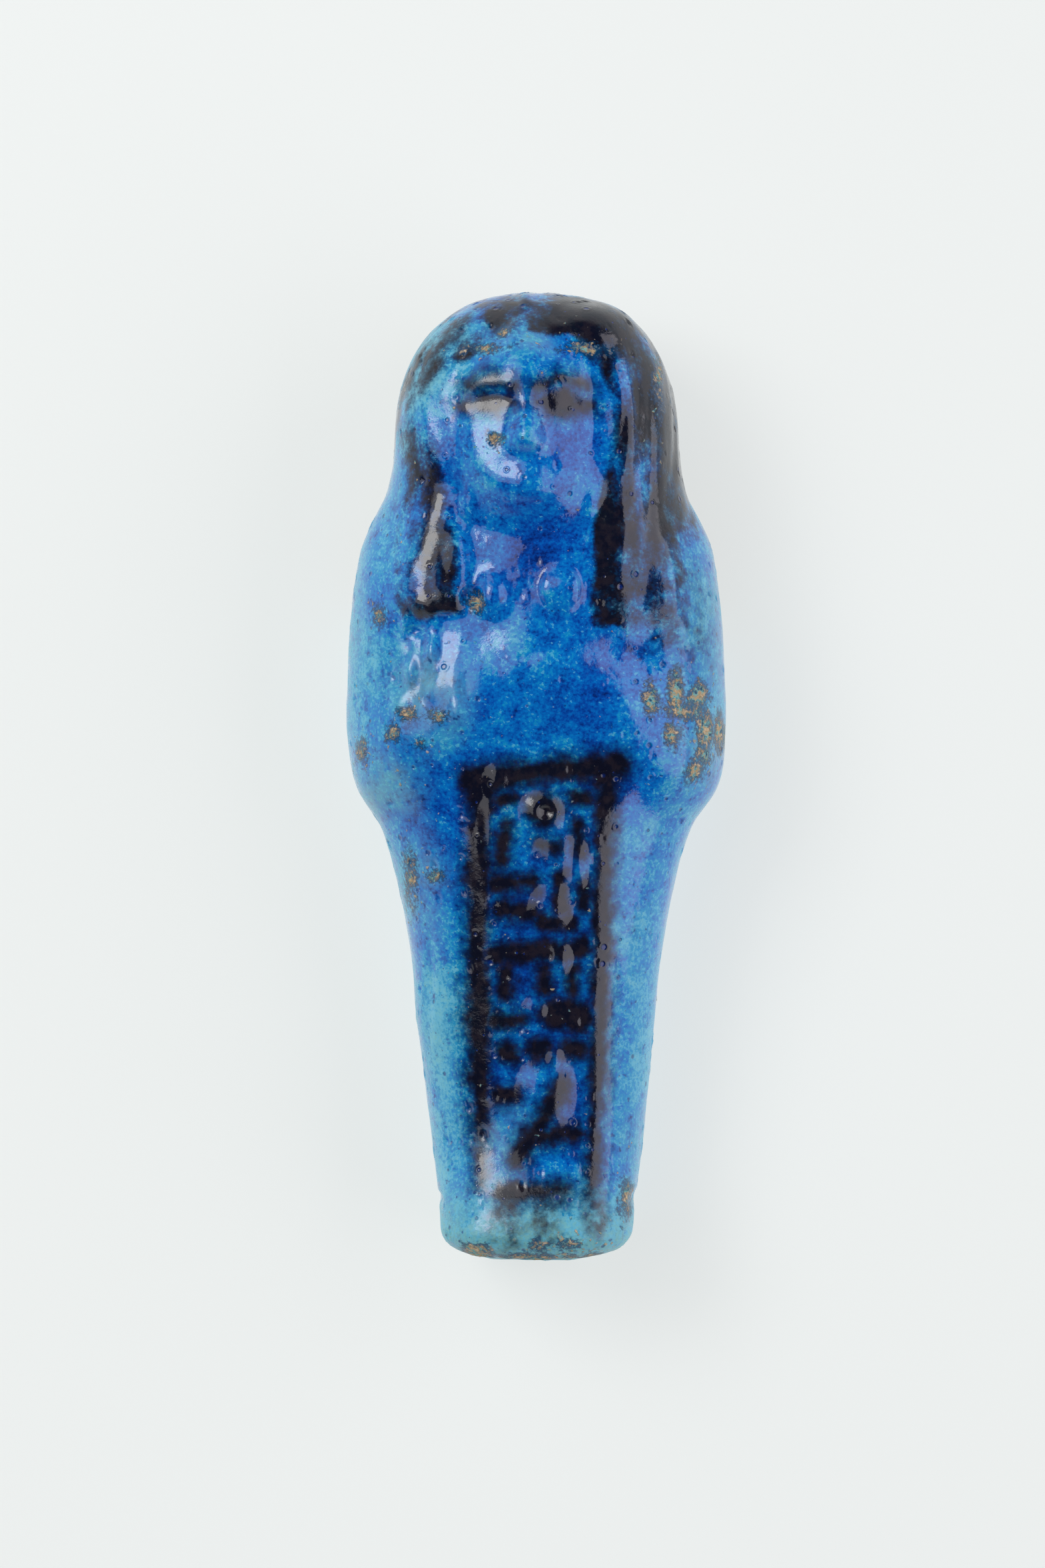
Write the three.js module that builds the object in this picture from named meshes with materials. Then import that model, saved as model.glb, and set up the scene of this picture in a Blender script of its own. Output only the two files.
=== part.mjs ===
// A ushabti: a small mummy-shaped servant figure of blue-glazed faience, pressed in an open mould
// as one solid and lying on its back, which was wiped flat before firing.
// Millimetres. +Y runs from the sole to the crown, +Z up out of the breast, and the origin is on
// the ground under the middle of the figure.
// A place on the figure is (x, up): x across from the middle in millimetres, and up the share of
// the length above the sole.
import * as THREE from "three";

// Driving dimensions
const LENGTH = 100; // sole to crown
const WIDTH = 39.4; // over the elbows
const BODY_DEPTH = 21.6; // flat back to breast, without the arms, wig and face

// Body
const SIDE_SHARE = 0.44; // height of the widest line, as a share of the depth there
const FRONT_POWER = 2.3; // squareness of a cross-section's front, where 2 is an ellipse
const FEET_POWER = 3; // squareness of the front over the feet
const FEET_TOP = 0.13; // share of the length where the feet become shins
const BACK_POWER = 2.6; // squareness of its back
const BENCH_EDGE = 0.5; // softness of the edge round the flat back
const SOLE_EDGE = 2.8; // rounding of the sole's edge, along the length
const SOLE_CORNER = 6; // how far that rounding reaches in from the sides
const SOLE_BEVEL = 2.2; // and from the front and back

// Crown of the wig, a dome
const DOME_LONG = 0.16; // share of the length over which the head closes
const DOME_POWER = 2.4; // squareness of the dome
const DOME_HEART = 0.5; // height of the crown, as a share of the head's depth

// Wig, with two lappets over the shoulders
const WIG_RISE = 1; // how far it stands over the body
const WIG_EDGE = 3; // width of its rounded edge
const WIG_ASIDE = -1.1; // how far off the middle the face and the gap between the lappets sit
const LAPPET_END = 0.66; // share of the length where the lappets and the back of the wig end
const LAPPET_INSIDE = 6.6; // from the middle of that gap to a lappet, at its end
const LAPPET_SPREAD = 1.6; // how much further out the lappet is at the face
const LAPPET_OUTSIDE = 14.8; // from the figure's middle to a lappet's outer edge
const LAPPET_TOP = 0.79; // share of the length where the lappets join over the shoulder

// Arms, folded over the breast under the wrappings
const ARM_RISE = 1.8; // how far a forearm stands over the breast
const FOREARM_HALF = 8; // half width of a forearm's swelling
const UPPER_ARM_HALF = 6; // half width of an upper arm's swelling
const UPPER_ARM_RISE = 1.2; // how far an upper arm stands over the breast
const CROSSING_EDGE = 0.4; // softness where the forearms cross
const ELBOW_EDGE = 1; // softness where a forearm joins the upper arm
const ELBOW = { x: 14.4, up: 0.53 };
const SHOULDER = { x: 16, up: 0.7 };
const WRIST = { x: -1.5, up: 0.607 }; // past the middle, on the other side
const RIGHT_FIST = { x: 2.4, up: 0.687 };
const LEFT_FIST = { x: -4.8, up: 0.682 };
const FIST = { half: 2.2, tall: 3.1, rise: 1.2 };
const CARVING_FADE = { from: 0.05, to: 0.5 }; // share of the front, from the side up, where it sets in

// Face, a plain one of ordinary proportions: five eyes wide and three noses long
const FACE_DOWN = 0.139; // from the crown to its middle, as a share of the length
const FACE_HALF_HEIGHT = 9.6;
const FACE_HALF_WIDTH = 8.6;
const FACE_POWER = 2.2; // squareness of its outline
const FACE_EDGE = 2.4; // width of its rounded edge
const CHEEK_FALL = 3.8; // how far the cheeks curve back at its edge
const EYE = { x: 3.4, down: -1.5, half: 2.1, tall: 1.4, lid: 0.5 };
const SOCKET = { x: 3.6, down: -1.8, half: 3.2, tall: 2.4, depth: 0.8 };
const BROW = { x: 3.6, down: -3.6, half: 3.6, tall: 1.1, rise: 0.35 };
const NOSE = { top: -3.6, tip: 2.3, end: 4, thin: 1.3, wide: 2.5, rise: 2 };
const LIPS = { down: 5.5, half: 2.9, tall: 1.5, rise: 0.6 };
const CHIN = { down: 8.2, half: 2.8, rise: 0.6 };

// Mesh. The columns of points follow the edges of the lappets and of the face.
const SIDE_COLUMNS = 9; // from the figure's side to a lappet's outer edge
const LAPPET_COLUMNS = 8; // across a lappet
const FACE_COLUMNS = 18; // across the face and the gap between the lappets
const BACK_COLUMNS = 18; // round the back
const LEG_SHARES = { inside: 0.36, outside: 0.75 }; // where those columns run down the legs
const HEAD_SHARES = { inside: 0.6, beyond: 0.08 }; // most inside them, and least left outside
const SOLE_RINGS = 5;
const CROWN_LONG = 0.065; // share of the length under the crown's own rings
const CROWN_RINGS = 8;
const RING_SPANS = [
  { long: 39, rings: 12 }, // feet and legs
  { long: 10, rings: 8 }, // the turn under the elbows
  { long: 23, rings: 14 }, // arms and breast
  { long: 18.5, rings: 21 }, // face
];

// Half width of the outline against the share of the length, as a share of half the width
const HALF_WIDTHS = [
  [0, 0.508],
  [0.05, 0.515],
  [0.1, 0.543],
  [0.2, 0.604],
  [0.3, 0.66],
  [0.4, 0.754],
  [0.437, 0.802],
  [0.452, 0.832],
  [0.468, 0.893],
  [0.484, 0.944],
  [0.51, 0.98],
  [0.58, 1],
  [0.68, 0.975],
  [0.733, 0.929],
  [0.766, 0.86],
  [0.795, 0.792],
  [0.84, 0.749],
  [1, 0.736],
];

// Height of the body's front over the ground, as a share of the body's depth
const FRONTS = [
  [0, 0.86],
  [0.03, 0.905],
  [0.085, 0.81],
  [0.14, 0.775],
  [0.27, 0.845],
  [0.41, 0.925],
  [0.5, 0.96],
  [0.62, 1],
  [0.72, 0.995],
  [0.77, 0.975],
  [0.8, 0.99],
  [0.84, 1.06],
  [1, 1.06],
];

// Height of its back, below the ground where the bench flattened it
const BACKS = [
  [0, 0.03],
  [0.05, 0.005],
  [0.1, -0.025],
  [0.2, -0.042],
  [0.45, -0.046],
  [0.84, -0.042],
  [1, -0.042],
];

// Height of the face down its middle, as a share of the body's depth, from the chin up
const FACE_FRONTS = [
  [0.76, 1.05],
  [0.78, 1.115],
  [0.81, 1.135],
  [0.85, 1.125],
  [0.876, 1.11],
  [0.895, 1.115],
  [0.93, 1.05],
  [0.965, 0.93],
];

const DOME_START = 1 - DOME_LONG;
const FACE_MIDDLE = 1 - FACE_DOWN;

const clamp = THREE.MathUtils.clamp;
const lerp = THREE.MathUtils.lerp;
const smooth = THREE.MathUtils.smoothstep; // smooth(value, from, to)

// The value at `up` of a smooth line through a table of [up, value].
function through(table, up) {
  const last = table.length - 1;
  let i = 0;
  while (i < last - 1 && up > table[i + 1][0]) i++;
  const slope = (a, b) => (table[b][1] - table[a][1]) / (table[b][0] - table[a][0]);
  const lean = (k) => slope(Math.max(k - 1, 0), Math.min(k + 1, last));
  const [from, a] = table[i];
  const [to, b] = table[i + 1];
  const span = to - from;
  const t = clamp((up - from) / span, 0, 1);
  const rise = (lean(i) * (1 - t) - lean(i + 1) * t) * span;
  return a + (b - a) * t * t * (3 - 2 * t) + rise * t * (1 - t);
}

// The larger of two heights, with a rounding `round` wide where they meet.
function softMax(a, b, round) {
  const t = Math.max(round - Math.abs(a - b), 0) / round;
  return Math.max(a, b) + (t * t * round) / 4;
}

// 1 at 0, falling smoothly to 0 at 1.
const swell = (t) => (Math.abs(t) < 1 ? (1 - t * t) ** 2 : 0);

// Distance from (x, up) to the stretch between two places, in millimetres.
function distanceTo(x, up, from, to) {
  const p = new THREE.Vector2(x, up * LENGTH);
  const a = new THREE.Vector2(from.x, from.up * LENGTH);
  const along = new THREE.Vector2(to.x, to.up * LENGTH).sub(a);
  const share = clamp(p.clone().sub(a).dot(along) / along.lengthSq(), 0, 1);
  return p.distanceTo(a.addScaledVector(along, share));
}

const mirrored = (place) => ({ x: -place.x, up: place.up });

// How far the arms stand over the breast.
function arms(x, up) {
  const upperArm = swell(distanceTo(Math.abs(x), up, SHOULDER, ELBOW) / UPPER_ARM_HALF);
  const forearm = (elbow, wrist) => swell(distanceTo(x, up, elbow, wrist) / FOREARM_HALF);
  const left = forearm(mirrored(ELBOW), mirrored(WRIST));
  const forearms = softMax(forearm(ELBOW, WRIST), left, CROSSING_EDGE);
  const fist = (place) =>
    swell(Math.hypot((x - place.x) / FIST.half, ((up - place.up) * LENGTH) / FIST.tall));
  const fists = FIST.rise * (fist(RIGHT_FIST) + fist(LEFT_FIST));
  return softMax(ARM_RISE * forearms, UPPER_ARM_RISE * upperArm, ELBOW_EDGE) + fists;
}

// Half width of the face's oval at a share of the length, and 0 above and below it.
function faceHalf(up) {
  const along = Math.min(Math.abs((up - FACE_MIDDLE) * LENGTH) / FACE_HALF_HEIGHT, 1);
  return FACE_HALF_WIDTH * (1 - along ** FACE_POWER) ** (1 / FACE_POWER);
}

// Distance from (x, up) in to the face's outline, about true near it and below 0 outside.
function faceInset(x, up) {
  const across = Math.abs(x - WIG_ASIDE) / FACE_HALF_WIDTH;
  const along = Math.abs((up - FACE_MIDDLE) * LENGTH) / FACE_HALF_HEIGHT;
  const reach = (across ** FACE_POWER + along ** FACE_POWER) ** (1 / FACE_POWER);
  return (1 - reach) * Math.min(FACE_HALF_WIDTH, FACE_HALF_HEIGHT);
}

// From the middle of the face to the inner edge of a lappet, and 0 above the lappets.
function lappetInside(up) {
  const lift = clamp((up - LAPPET_END) / (FACE_MIDDLE - LAPPET_END), 0, 1);
  return up < FACE_MIDDLE ? LAPPET_INSIDE + LAPPET_SPREAD * lift : 0;
}

// How far the wig stands over the body: all over the head, and down both lappets.
function wig(x, up) {
  const half = WIG_EDGE / 2;
  const fromGap = Math.abs(x - WIG_ASIDE) - lappetInside(up);
  const fromFace = -faceInset(x, up);
  const inside = smooth(up < FACE_MIDDLE ? Math.min(fromGap, fromFace) : fromFace, -half, half);
  const outside = smooth(LAPPET_OUTSIDE - Math.abs(x), -half, half);
  const onShoulder = smooth(up, LAPPET_TOP - WIG_EDGE / LENGTH, LAPPET_TOP + WIG_EDGE / LENGTH);
  const end = smooth((up - LAPPET_END) * LENGTH, -half, half);
  return WIG_RISE * inside * Math.max(outside, onShoulder) * end;
}

// Height of the face over the ground.
function face(x, up) {
  const aside = Math.abs(x - WIG_ASIDE);
  const down = (FACE_MIDDLE - up) * LENGTH;
  const spot = (at) => swell(Math.hypot((aside - (at.x ?? 0)) / at.half, (down - at.down) / at.tall));
  const cheeks = CHEEK_FALL * (aside / FACE_HALF_WIDTH) ** FACE_POWER;
  const eye = EYE.lid * spot(EYE) - SOCKET.depth * spot(SOCKET) + BROW.rise * spot(BROW);
  const along = clamp((down - NOSE.top) / (NOSE.tip - NOSE.top), 0, 1);
  const noseEnd = 1 - smooth(down, NOSE.tip, NOSE.end);
  const nose = NOSE.rise * along * noseEnd * swell(aside / lerp(NOSE.thin, NOSE.wide, along));
  const mouth = LIPS.rise * spot(LIPS) + CHIN.rise * spot({ ...CHIN, tall: CHIN.half });
  return BODY_DEPTH * through(FACE_FRONTS, up) - cheeks + eye + nose + mouth;
}

// A cross-section: its half width, and the heights of its back, widest line and front.
function section(up) {
  const closing = clamp((up - DOME_START) / DOME_LONG, 0, 1);
  const dome = (1 - closing ** DOME_POWER) ** (1 / DOME_POWER);
  const cut = clamp(1 - (up * LENGTH) / SOLE_EDGE, 0, 1);
  const inset = 1 - Math.sqrt(1 - cut * cut);
  const heart = BODY_DEPTH * DOME_HEART;
  const back = BODY_DEPTH * through(BACKS, up) + SOLE_BEVEL * inset;
  const front = BODY_DEPTH * through(FRONTS, up) - SOLE_BEVEL * inset;
  const half = (WIDTH / 2) * through(HALF_WIDTHS, up) - SOLE_CORNER * inset;
  const low = lerp(heart, back, dome);
  const high = lerp(heart, front, dome);
  const power = lerp(FEET_POWER, FRONT_POWER, smooth(up, 0, FEET_TOP));
  return { half: half * dome, low, high, side: lerp(low, high, SIDE_SHARE), power, dome };
}

// The point of the surface at a share of the length and an angle: 0 on the right side, a quarter
// turn on the front and three quarters on the back.
function surface(up, angle) {
  const { half, low, high, side, power, dome } = section(up);
  const across = Math.abs(Math.cos(angle));
  const out = Math.abs(Math.sin(angle));
  const front = Math.sin(angle) > 0;
  const bend = 2 / (front ? power : BACK_POWER);
  const x = Math.sign(Math.cos(angle)) * half * across ** bend;
  const y = (up - 0.5) * LENGTH;
  if (!front) return new THREE.Vector3(x, y, softMax(side - (side - low) * out ** bend, 0, BENCH_EDGE));
  const fade = smooth(out, CARVING_FADE.from, CARVING_FADE.to) * dome;
  const body = side + (high - side) * out ** bend;
  const clothed = body + fade * (arms(x, up) + wig(x, up));
  const shown = smooth(faceInset(x, up), -FACE_EDGE / 2, FACE_EDGE / 2);
  return new THREE.Vector3(x, y, lerp(clothed, face(x, up), shown));
}

// Shares of the length at which the rings lie, from the sole to just below the crown.
function ringHeights() {
  const soleTop = SOLE_EDGE / LENGTH;
  const heights = [];
  for (let i = 0; i < SOLE_RINGS; i++)
    heights.push(soleTop * (1 - Math.cos((i / SOLE_RINGS) * (Math.PI / 2))));
  const total = RING_SPANS.reduce((sum, span) => sum + span.long, 0);
  let from = soleTop;
  for (const { long, rings } of RING_SPANS) {
    const to = from + (1 - CROWN_LONG - soleTop) * (long / total);
    for (let i = 0; i < rings; i++) heights.push(lerp(from, to, i / rings));
    from = to;
  }
  const closed = Math.max(1 - CROWN_LONG / DOME_LONG, 0);
  const first = Math.asin(closed ** (DOME_POWER / 2));
  for (let i = 0; i < CROWN_RINGS; i++) {
    const angle = lerp(first, Math.PI / 2, i / CROWN_RINGS);
    heights.push(DOME_START + DOME_LONG * Math.sin(angle) ** (2 / DOME_POWER));
  }
  return heights;
}

// Angles round a ring at a share of the length. On the front they keep step with the edges of
// the lappets and of the face, so that no edge cuts across the faces.
function ringAngles(up) {
  const { half, power } = section(up);
  const angleAt = (x) => Math.acos(Math.sign(x) * Math.abs(x / half) ** (power / 2));
  const onLegs = 1 - smooth(up, ELBOW.up, LAPPET_END);
  const follow = (edge, share, most) => lerp(Math.min(edge, most * half), share * half, onLegs);
  const wigInside = Math.max(faceHalf(up), lappetInside(up));
  const inside = follow(wigInside, LEG_SHARES.inside, HEAD_SHARES.inside);
  const outside = follow(LAPPET_OUTSIDE, LEG_SHARES.outside, 1 - HEAD_SHARES.beyond);
  const aside = WIG_ASIDE * Math.min(inside / LAPPET_INSIDE, 1);
  const right = angleAt(inside + aside);
  const left = angleAt(aside - inside);
  const spans = [
    { from: 0, to: angleAt(outside), columns: SIDE_COLUMNS },
    { from: angleAt(outside), to: right, columns: LAPPET_COLUMNS },
    { from: right, to: left, columns: FACE_COLUMNS },
    { from: left, to: angleAt(-outside), columns: LAPPET_COLUMNS },
    { from: angleAt(-outside), to: Math.PI, columns: SIDE_COLUMNS },
    { from: Math.PI, to: 2 * Math.PI, columns: BACK_COLUMNS },
  ];
  const angles = [];
  for (const { from, to, columns } of spans)
    for (let i = 0; i < columns; i++) angles.push(lerp(from, to, i / columns));
  return angles;
}

// The closed skin: rings joined in order, a flat fan over the sole and a fan to the crown.
function figureGeometry() {
  const heights = ringHeights();
  const points = heights.flatMap((up) => ringAngles(up).map((angle) => surface(up, angle)));
  const around = points.length / heights.length;
  const sole = section(0);
  const soleMiddle = points.length;
  points.push(new THREE.Vector3(0, -LENGTH / 2, sole.side));
  const crown = points.length;
  points.push(new THREE.Vector3(0, LENGTH / 2, section(1).side));
  const faces = [];
  for (let j = 0; j < around; j++) {
    const next = (j + 1) % around;
    faces.push(soleMiddle, j, next);
    for (let i = 0; i < heights.length - 1; i++) {
      const here = i * around;
      const above = here + around;
      faces.push(here + j, above + j, here + next);
      faces.push(here + next, above + j, above + next);
    }
    const top = (heights.length - 1) * around;
    faces.push(top + j, crown, top + next);
  }
  const geometry = new THREE.BufferGeometry().setFromPoints(points).setIndex(faces);
  geometry.computeVertexNormals();
  return geometry;
}

const glaze = new THREE.MeshStandardMaterial({ color: 0x1765b4, roughness: 0.25, metalness: 0 });

const figurine = new THREE.Mesh(figureGeometry(), glaze);
figurine.name = "figurine";

const ushabti = new THREE.Group();
ushabti.add(figurine);

export default ushabti;
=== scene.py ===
"""A small ushabti of blue-glazed faience, lying on its back on a pale table.

The figure keeps the form of its solid and adds what is finer: strands of hair, lumps and pits in
the glaze, brush strokes and worn spots. Forms are worked out in millimetres. A place on the
figure is (x, rise): x across from its middle, and rise above the sole, both in millimetres.
"""

import math
from itertools import product

import bpy
import numpy as np
from bpy.props import FloatProperty, FloatVectorProperty, IntProperty, PointerProperty
from bpy.types import Operator, Panel, PropertyGroup
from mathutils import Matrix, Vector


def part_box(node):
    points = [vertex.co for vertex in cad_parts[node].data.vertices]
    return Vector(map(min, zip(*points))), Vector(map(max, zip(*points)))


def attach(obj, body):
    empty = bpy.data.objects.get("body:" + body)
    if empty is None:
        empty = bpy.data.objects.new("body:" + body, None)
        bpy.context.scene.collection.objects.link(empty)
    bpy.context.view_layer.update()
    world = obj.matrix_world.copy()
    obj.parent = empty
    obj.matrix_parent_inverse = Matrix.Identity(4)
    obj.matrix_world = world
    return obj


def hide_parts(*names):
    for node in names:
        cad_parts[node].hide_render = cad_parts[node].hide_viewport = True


bl_info = {
    "name": "Faience Ushabti",
    "version": (1, 0, 0),
    "blender": (4, 5, 0),
    "location": "View3D > Sidebar > Ushabti",
    "description": "Adds a blue-glazed faience ushabti and the table and lights to show it",
    "category": "Add Mesh",
}

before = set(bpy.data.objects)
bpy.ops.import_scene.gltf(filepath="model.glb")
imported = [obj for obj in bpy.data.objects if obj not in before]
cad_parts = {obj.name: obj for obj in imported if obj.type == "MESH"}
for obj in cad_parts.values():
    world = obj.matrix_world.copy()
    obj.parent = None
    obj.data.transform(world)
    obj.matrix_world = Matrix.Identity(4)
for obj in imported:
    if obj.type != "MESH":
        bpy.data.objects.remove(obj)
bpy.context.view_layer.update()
MM = 0.001  # metres in a millimetre
low_corner, high_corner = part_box("figurine")
LENGTH, WIDTH, DEPTH = ((high_corner[i] - low_corner[i]) / MM for i in (1, 0, 2))
BODY_DEPTH = 0.8212 * DEPTH  # flat back to breast, without the arms, wig and face

# Body
SIDE_SHARE = 0.44  # height of the widest line, as a share of the depth there
FRONT_POWER = 2.3  # squareness of a cross-section's front, where 2 is an ellipse
FEET_POWER = 3.0
FEET_TOP = 0.13  # share of the length where the feet end
BACK_POWER = 2.6
BENCH_EDGE = 0.5  # softness of the edge round the flat back
SOLE_EDGE = 2.8  # how far up the sole's rounded edge reaches
SOLE_CORNER = 6.0  # how far in it goes at the sides
SOLE_BEVEL = 2.2  # and at the front and the back
DOME_START = 0.84  # share of the length where the head begins to close
DOME_POWER = 2.4
DOME_HEART = 0.5  # height that the crown closes to, as a share of the body's depth
CARVED = (0.05, 0.5)  # sine of the angle round where the carving begins, and where it is whole
STRAY_SIZE = 8  # from one bulge of a hand-pressed line to the next
STRAY_ACROSS = 0.4
STRAY_ALONG = 0.5

# Wig
WIG_RISE = 1.0
WIG_EDGE = 3.0  # width of the step at the wig's edge
WIG_ASIDE = -1.1  # how far off the middle the face and the gap between the lappets sit
LAPPET_END = 0.66 * LENGTH
LAPPET_INSIDE = 6.6  # half the gap between the lappets at their ends
LAPPET_SPREAD = 1.6  # how much more that is beside the face
LAPPET_OUTSIDE = 14.8
LAPPET_TOP = 0.79 * LENGTH  # where the lappets come out of the rest of the wig
STRAND = 1.9  # from one strand of hair to the next

# Arms
ARM_RISE = 1.8
FOREARM_HALF = 8.0
UPPER_ARM_HALF = 6.0
UPPER_ARM_RISE = 1.2
FOREARM_BLEND = 0.4  # rounding where the forearms cross, as a share of their rise
ARM_BLEND = 1.0
ELBOW = (14.4, 0.53 * LENGTH)  # places are (x, rise), and the other arm mirrors this one
SHOULDER = (16.0, 0.7 * LENGTH)
WRIST = (-1.5, 0.607 * LENGTH)
FISTS = ((2.4, 0.687 * LENGTH), (-4.8, 0.682 * LENGTH))
FIST_HALF = 2.2
FIST_TALL = 3.1
FIST_RISE = 1.2

# Face, a plain one of ordinary proportions: five eyes wide and three noses long
FACE_MIDDLE = 0.861 * LENGTH
FACE_HALF_HEIGHT = 9.6
FACE_HALF_WIDTH = 8.6
FACE_POWER = 2.2
FACE_EDGE = 2.4
CHEEK_FALL = 3.8
EYE_ASIDE = 3.4
EYE_DOWN = -1.5
EYE_HALF = 1.9
EYE_TALL = 0.8
NOSE_TOP = -3.6  # down from the face's middle, as the tip and the end are
NOSE_TIP = 2.3
NOSE_END = 4.0
NOSE_HEIGHT = 2.0
NOSE_HALF = (1.3, 2.5)  # half width at the top and at the tip
# Aside from its middle line, down from its middle, half width, half height, how far it stands out
FEATURES = (
    (EYE_ASIDE, EYE_DOWN, 2.1, 1.4, 0.5),  # eye
    (3.6, -1.8, 3.2, 2.4, -0.8),  # eye socket
    (3.6, -3.6, 3.6, 1.1, 0.35),  # brow
    (1.6, 2.7, 1.1, 1.0, 0.35),  # side of the nose
    (0, 5.5, 2.9, 1.5, 0.6),  # lips
    (0, 5.45, 2.4, 0.42, -0.28),  # line between the lips
    (0, 8.2, 2.8, 2.8, 0.6),  # chin
)

# Tables of (share of the length, share of half the width or of the body's depth)
HALF_WIDTHS = (
    (0, 0.508), (0.05, 0.515), (0.1, 0.543), (0.2, 0.604), (0.3, 0.66), (0.4, 0.754),
    (0.437, 0.802), (0.452, 0.832), (0.468, 0.893), (0.484, 0.944), (0.51, 0.98), (0.58, 1),
    (0.68, 0.975), (0.733, 0.929), (0.766, 0.86), (0.795, 0.792), (0.84, 0.749), (1, 0.736),
)
FRONTS = (
    (0, 0.86), (0.03, 0.905), (0.085, 0.81), (0.14, 0.775), (0.27, 0.845), (0.41, 0.925),
    (0.5, 0.96), (0.62, 1), (0.72, 0.995), (0.77, 0.975), (0.8, 0.99), (0.84, 1.06), (1, 1.06),
)
BACKS = (
    (0, 0.03), (0.05, 0.005), (0.1, -0.025), (0.2, -0.042), (0.45, -0.046), (0.84, -0.042),
    (1, -0.042),
)
FACE_FRONTS = (
    (0.76, 1.05), (0.78, 1.115), (0.81, 1.135), (0.85, 1.125), (0.876, 1.11), (0.895, 1.115),
    (0.93, 1.05), (0.965, 0.93),
)


# Shapes of one number


def smooth(value, start, end):
    """0 at start and before it, 1 at end and after it, and a soft step between."""
    t = np.clip((value - start) / (end - start), 0, 1)
    return t * t * (3 - 2 * t)


def swell(t):
    """1 at 0, falling smoothly to 0 at 1."""
    return np.clip(1 - np.asarray(t) ** 2, 0, None) ** 2


def mix(a, b, share):
    """A share of the way from a to b."""
    return a + (b - a) * share


def soft_max(a, b, round_over):
    """The larger of two heights, with a rounding where they meet."""
    t = np.clip(round_over - np.abs(a - b), 0, None) / round_over
    return np.maximum(a, b) + t * t * round_over / 4


def through(table, at):
    """The value at each place of a smooth line through a table of (place, value)."""
    places, values = np.array(table, float).T
    last = len(places) - 1
    before = np.maximum(np.arange(last + 1) - 1, 0)
    after = np.minimum(np.arange(last + 1) + 1, last)
    lean = (values[after] - values[before]) / (places[after] - places[before])
    i = np.clip(np.searchsorted(places, at) - 1, 0, last - 1)
    span = places[i + 1] - places[i]
    t = np.clip((at - places[i]) / span, 0, 1)
    bow = (lean[i] * (1 - t) - lean[i + 1] * t) * span
    return values[i] + (values[i + 1] - values[i]) * t * t * (3 - 2 * t) + bow * t * (1 - t)


def distance_to(x, rise, start, end):
    """Distance from each place to a straight stretch, and how far along it the nearest point is."""
    along_x, along_y = end[0] - start[0], end[1] - start[1]
    length = max(along_x**2 + along_y**2, 1e-9)
    share = np.clip(((x - start[0]) * along_x + (rise - start[1]) * along_y) / length, 0, 1)
    return np.hypot(x - start[0] - share * along_x, rise - start[1] - share * along_y), share


def spots(x, rise, table):
    """Sum of soft spots, each (x, rise, half width, half length, amount)."""
    total = np.zeros_like(x)
    for at_x, at_rise, half, tall, amount in table:
        total += amount * swell(np.hypot((x - at_x) / half, (rise - at_rise) / tall))
    return total


# Large odd numbers that turn a cell's place and a seed into a number that looks random
CELL_FACTORS = (73856093, 19349663, 83492791)
SEED_FACTOR = 668265263
STIR_FACTOR = 1274126177
WORD = 0xFFFFFFFF
HALF_WORD = 0xFFFF


def random_at(cell, seed):
    """A number from -1 to 1 for each cell, which is always the same for the same seed."""
    code = seed * SEED_FACTOR
    for axis, factor in enumerate(CELL_FACTORS):
        code = code ^ cell[..., axis] * factor
    code = code & WORD
    code = (code ^ code >> 13) * STIR_FACTOR & WORD
    return ((code ^ code >> 16) & HALF_WORD) / (HALF_WORD / 2) - 1


def noise(points, size, seed, octaves=1):
    """Smooth noise over points in millimetres, its lumps about size apart. The first octave
    stays within 1 of 0, and each further one adds half as much at half the size."""
    total = np.zeros(points.shape[:-1])
    strength = 1.0
    for octave in range(octaves):
        at = points / (size / 2**octave)
        cell = np.floor(at).astype(np.int64)
        part = at - cell
        part = part * part * (3 - 2 * part)
        for corner in product((0, 1), repeat=3):
            weight = np.prod(np.where(corner, part, 1 - part), axis=-1)
            total += strength * weight * random_at(cell + corner, seed + octave)
        strength /= 2
    return total


def layers(points, table):
    """Sum of layers of noise, each (height, size, seed, octaves)."""
    return sum(height * noise(points, *layer) for height, *layer in table)


def strayed(x, rise):
    """Places shifted a little, because a hand-pressed form strays from its pattern."""
    flat = np.stack([x, rise, np.zeros_like(x)], axis=-1)
    x = x + STRAY_ACROSS * noise(flat, STRAY_SIZE, seed=61)
    return x, rise + STRAY_ALONG * noise(flat, STRAY_SIZE, seed=67)


# The form that the figure's solid has


def section(up):
    """Half width and heights of the cross-section at each share of the length."""
    closing = np.clip((up - DOME_START) / (1 - DOME_START), 0, 1)
    dome = (1 - closing**DOME_POWER) ** (1 / DOME_POWER)
    cut = np.clip(1 - up * LENGTH / SOLE_EDGE, 0, 1)
    inset = 1 - np.sqrt(1 - cut * cut)
    heart = BODY_DEPTH * DOME_HEART
    back = BODY_DEPTH * through(BACKS, up) + SOLE_BEVEL * inset
    front = BODY_DEPTH * through(FRONTS, up) - SOLE_BEVEL * inset
    half = WIDTH / 2 * through(HALF_WIDTHS, up) - SOLE_CORNER * inset
    low, high = mix(heart, back, dome), mix(heart, front, dome)
    power = mix(FEET_POWER, FRONT_POWER, smooth(up, 0, FEET_TOP))
    return half * dome, low, high, mix(low, high, SIDE_SHARE), power, dome


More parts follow.
